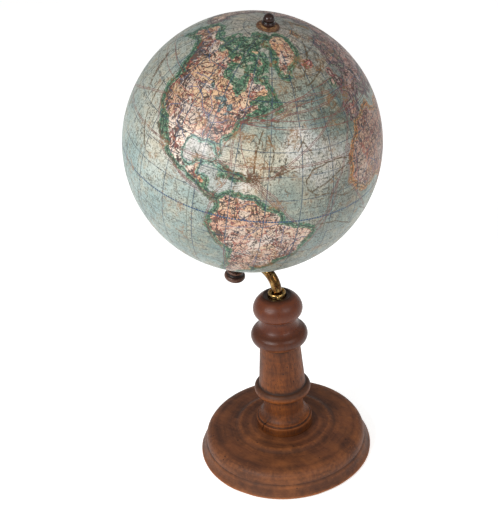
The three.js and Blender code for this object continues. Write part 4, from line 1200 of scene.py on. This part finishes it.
def collar_and_screw():
    def slotted(points, crest):
        """A screwdriver slot across the head of the screw."""
        floor = 3.8
        points[(np.abs(points[:, 1]) < 0.3) & (points[:, 2] > floor), 2] = floor
        return points

    collar = turned("brass_socket_collar", [
        (SOCKET_RADIUS, 168.3), (8, 168.3), (8, 174.6), (7.5, COLLAR_TOP), (6.6, COLLAR_TOP), (6.1, 173.6),
        (SOCKET_RADIUS, 173.2),
    ], 64, ON_STAND, 0.25)
    fit_out(collar, "stand", "brass", COLLAR_BRASS, "socket_collar")
    out = Vector((math.cos(SCREW_TURN), math.sin(SCREW_TURN), 0))
    root = out * SOCKET_RADIUS + Vector((0, 0, SCREW_HEIGHT))
    place = ON_STAND @ Matrix.Translation(root) @ out.to_track_quat("Z", "Y").to_matrix().to_4x4()
    screw = turned("brass_set_screw", [
        (0, 0), (1, 0), (1, 2.9), (1.6, 3.1), (1.6, 3.7), (1.2, 4.2), (0.2, 4.3), (0, 4.3),
    ], 48, place, 0.12, dent=slotted)
    fit_out(screw, "stand", "brass", COLLAR_BRASS, "collar_set_screw")


def brass_arm():
    """A rod that goes up out of the collar, round its bend and on to the eye, as one solid."""
    tilt = math.atan2(NORTH.x, NORTH.z)
    eye = CENTRE / MM - NORTH * EYE_DEPTH
    path = [Vector((0, 0, z)) for z in (152, 158, 164, 170, COLLAR_TOP)]
    steps = 32
    for k in range(1, steps + 1):
        a = (math.pi / 2 - tilt) * k / steps
        path.append(Vector((-ARM_BEND * (1 - math.cos(a)), 0, COLLAR_TOP + ARM_BEND * math.sin(a))))
    to_eye = eye - path[-1]
    path += [path[-1] + to_eye * t for t in (0.35, 1 - IN_EYE / to_eye.length)]
    sides = 32
    vertices = []
    for before, here, after in zip(path[:1] + path, path, path[1:] + path[-1:]):
        up = (after - before).normalized().cross(SIDEWAYS)
        for n in range(sides):
            a = 2 * math.pi * n / sides
            vertices.append(here + ARM_RADIUS * (SIDEWAYS * math.cos(a) + up * math.sin(a)))
    faces = [(k + n, k + (n + 1) % sides, k + sides + (n + 1) % sides, k + sides + n)
             for k in range(0, len(vertices) - sides, sides) for n in range(sides)]
    faces += [tuple(reversed(range(sides))), tuple(range(len(vertices) - sides, len(vertices)))]
    arm = mesh_object("bent_brass_arm", vertices, faces, ON_STAND)
    mesh = bmesh.new()
    mesh.from_mesh(arm.data)
    bmesh.ops.recalc_face_normals(mesh, faces=mesh.faces)
    mesh.to_mesh(arm.data)
    mesh.free()
    ring = turned("eye", tube(3, 7.5, -EYE_DEPTH - 5, -EYE_DEPTH + 5), 64, ON_AXLE, 0.5)
    join = arm.modifiers.new("eye", "BOOLEAN")
    join.operation, join.solver, join.object = "UNION", "EXACT", ring
    bpy.context.view_layer.update()
    whole = bpy.data.meshes.new_from_object(arm.evaluated_get(bpy.context.evaluated_depsgraph_get()))
    arm.modifiers.clear()
    arm.data = whole
    bpy.data.objects.remove(ring)
    whole.set_sharp_from_angle(angle=math.radians(SHARP))
    fit_out(arm, "stand", "brass", BRASS, "arm")


def axle_pieces():
    def on_axle(name, outline, sides, slot, material, node, ease=0.2, body="stand"):
        fit_out(turned(name, outline, sides, ON_AXLE, ease), body, slot, material, node)

    on_axle("steel_axle", [(0, -137), (2.1, -137), (2.7, -136.4), (2.7, 117.4), (2.1, 118), (0, 118)], 32,
            "steel", STEEL, "axle")
    on_axle("leather_washer_south", tube(3, 8.5, -111.5, -110.4), 64,
            "leather", LEATHER, "south_leather_washer", 0.35)
    on_axle("brass_washer_south", tube(3, 6.5, -112.9, -111.8), 64,
            "brass", BRASS, "south_brass_washer", 0.25)
    on_axle("turned_knob", [
        (0, -151.6), (4.5, -151), *arc(6.8, -147.2, 3, 2.9, -62, 75, 16), (6.7, -142.9),
        *arc(6.3, -140.9, 1.4, 1.4, -60, 80, 10), (5, -138.2), (4.6, -135.5), (4.6, -123.5), (3, -123.5),
        (3, -137.3), (0, -137.3),
    ], 80, "dark_wood", KNOB_WOOD, "south_knob", 0.3)
    on_axle("leather_disc_north", [(3, 110.4), (9.3, 109.95), (9.3, 111.05), (3, 111.5)], 72,
            "leather", LEATHER, "north_leather_disc", 0.3)
    on_axle("acorn_finial", [
        (0, 118.3), (3, 118.3), (3, 111.8), (4.9, 111.8), *arc(4.1, 113.2, 1.4, 1.4, -40, 60, 10),
        (4.35, 115.1), *arc(0, 116.4, 4.75, 5, 0, 90, 22),
    ], 80, "dark_wood", DARK_WOOD, "north_finial", 0.25)
    for pole, low in (("north", 93.3), ("south", -109.7)):
        on_axle(f"brass_bush_{pole}", tube(3.1, 5, low, low + 16.4), 48,
                "brass", BRASS, f"bush_{pole}", body="globe")


def dress_hidden_nodes():
    """The CAD pieces that stay as they are, inside the globe and under the base."""
    for material, nodes in (
        (STEEL, "column_screw column_screw_washer"), (CARD, "shell_north shell_south equator_strip"),
        (PALE_WOOD, "inner_pillar pole_block_north pole_block_south"),
    ):
        for node in nodes.split():
            mesh = frame["nodes"][node].data
            mesh.materials.clear()
            mesh.materials.append(material)


def studio():
    scene = bpy.context.scene
    scene.view_settings.view_transform = "Standard"
    camera = bpy.data.objects.new("camera", bpy.data.cameras.new("camera"))
    camera.data.lens, camera.data.sensor_width = LENS, SENSOR
    around, tilt, roll = (math.radians(a) for a in CAMERA_TURN)
    camera.matrix_world = (Matrix.Translation(CAMERA_PLACE) @ Matrix.Rotation(around, 4, "Z")
                           @ Matrix.Rotation(tilt, 4, "X") @ Matrix.Rotation(roll, 4, "Z"))
    scene.collection.objects.link(camera)
    scene.camera = camera
    aim = Vector([(a + b) / 2 for a, b in zip(*cad_box)]) + LAMP_AIM
    for name, (azimuth, power) in LAMPS.items():
        light = bpy.data.lights.new(name, "AREA")
        light.shape, light.size, light.energy = "DISK", LAMP_SIZE, power
        lamp = bpy.data.objects.new(name, light)
        a = around + math.radians(azimuth)
        level = math.cos(LAMP_RISE)
        direction = Vector((math.sin(a) * level, -math.cos(a) * level, math.sin(LAMP_RISE)))
        lamp.location = aim + direction * LAMP_DISTANCE
        lamp.rotation_euler = (-direction).to_track_quat("-Z", "Y").to_euler()
        scene.collection.objects.link(lamp)
    world = bpy.data.worlds.new("studio")
    world.use_nodes = True
    sky = world.node_tree.nodes["Background"].inputs
    sky["Color"].default_value, sky["Strength"].default_value = (1, 1, 1, 1), SKY
    scene.world = world
    floor_mesh = bpy.data.meshes.new("floor")
    floor_mesh.from_pydata(
        [(x * FLOOR, y * FLOOR, 0) for x, y in ((-1, -1), (1, -1), (1, 1), (-1, 1))], [], [(0, 1, 2, 3)])
    floor = bpy.data.objects.new("floor", floor_mesh)
    scene.collection.objects.link(floor)
    s = Shader("pale_floor")
    s.finish(s.mix(s.noise(s.place(), 0.004, 2), paint(248, 248, 247), paint(252, 252, 251)), 0.9,
             Emission_Color=(1, 1, 1, 1), Emission_Strength=0.5)
    floor_mesh.materials.append(s.material)


studio()
base_pieces()
collar_and_screw()
brass_arm()
axle_pieces()
all_gores()
polar_paper(1, "polar_paper_north")
polar_paper(-1, "polar_paper_south")
dress_hidden_nodes()
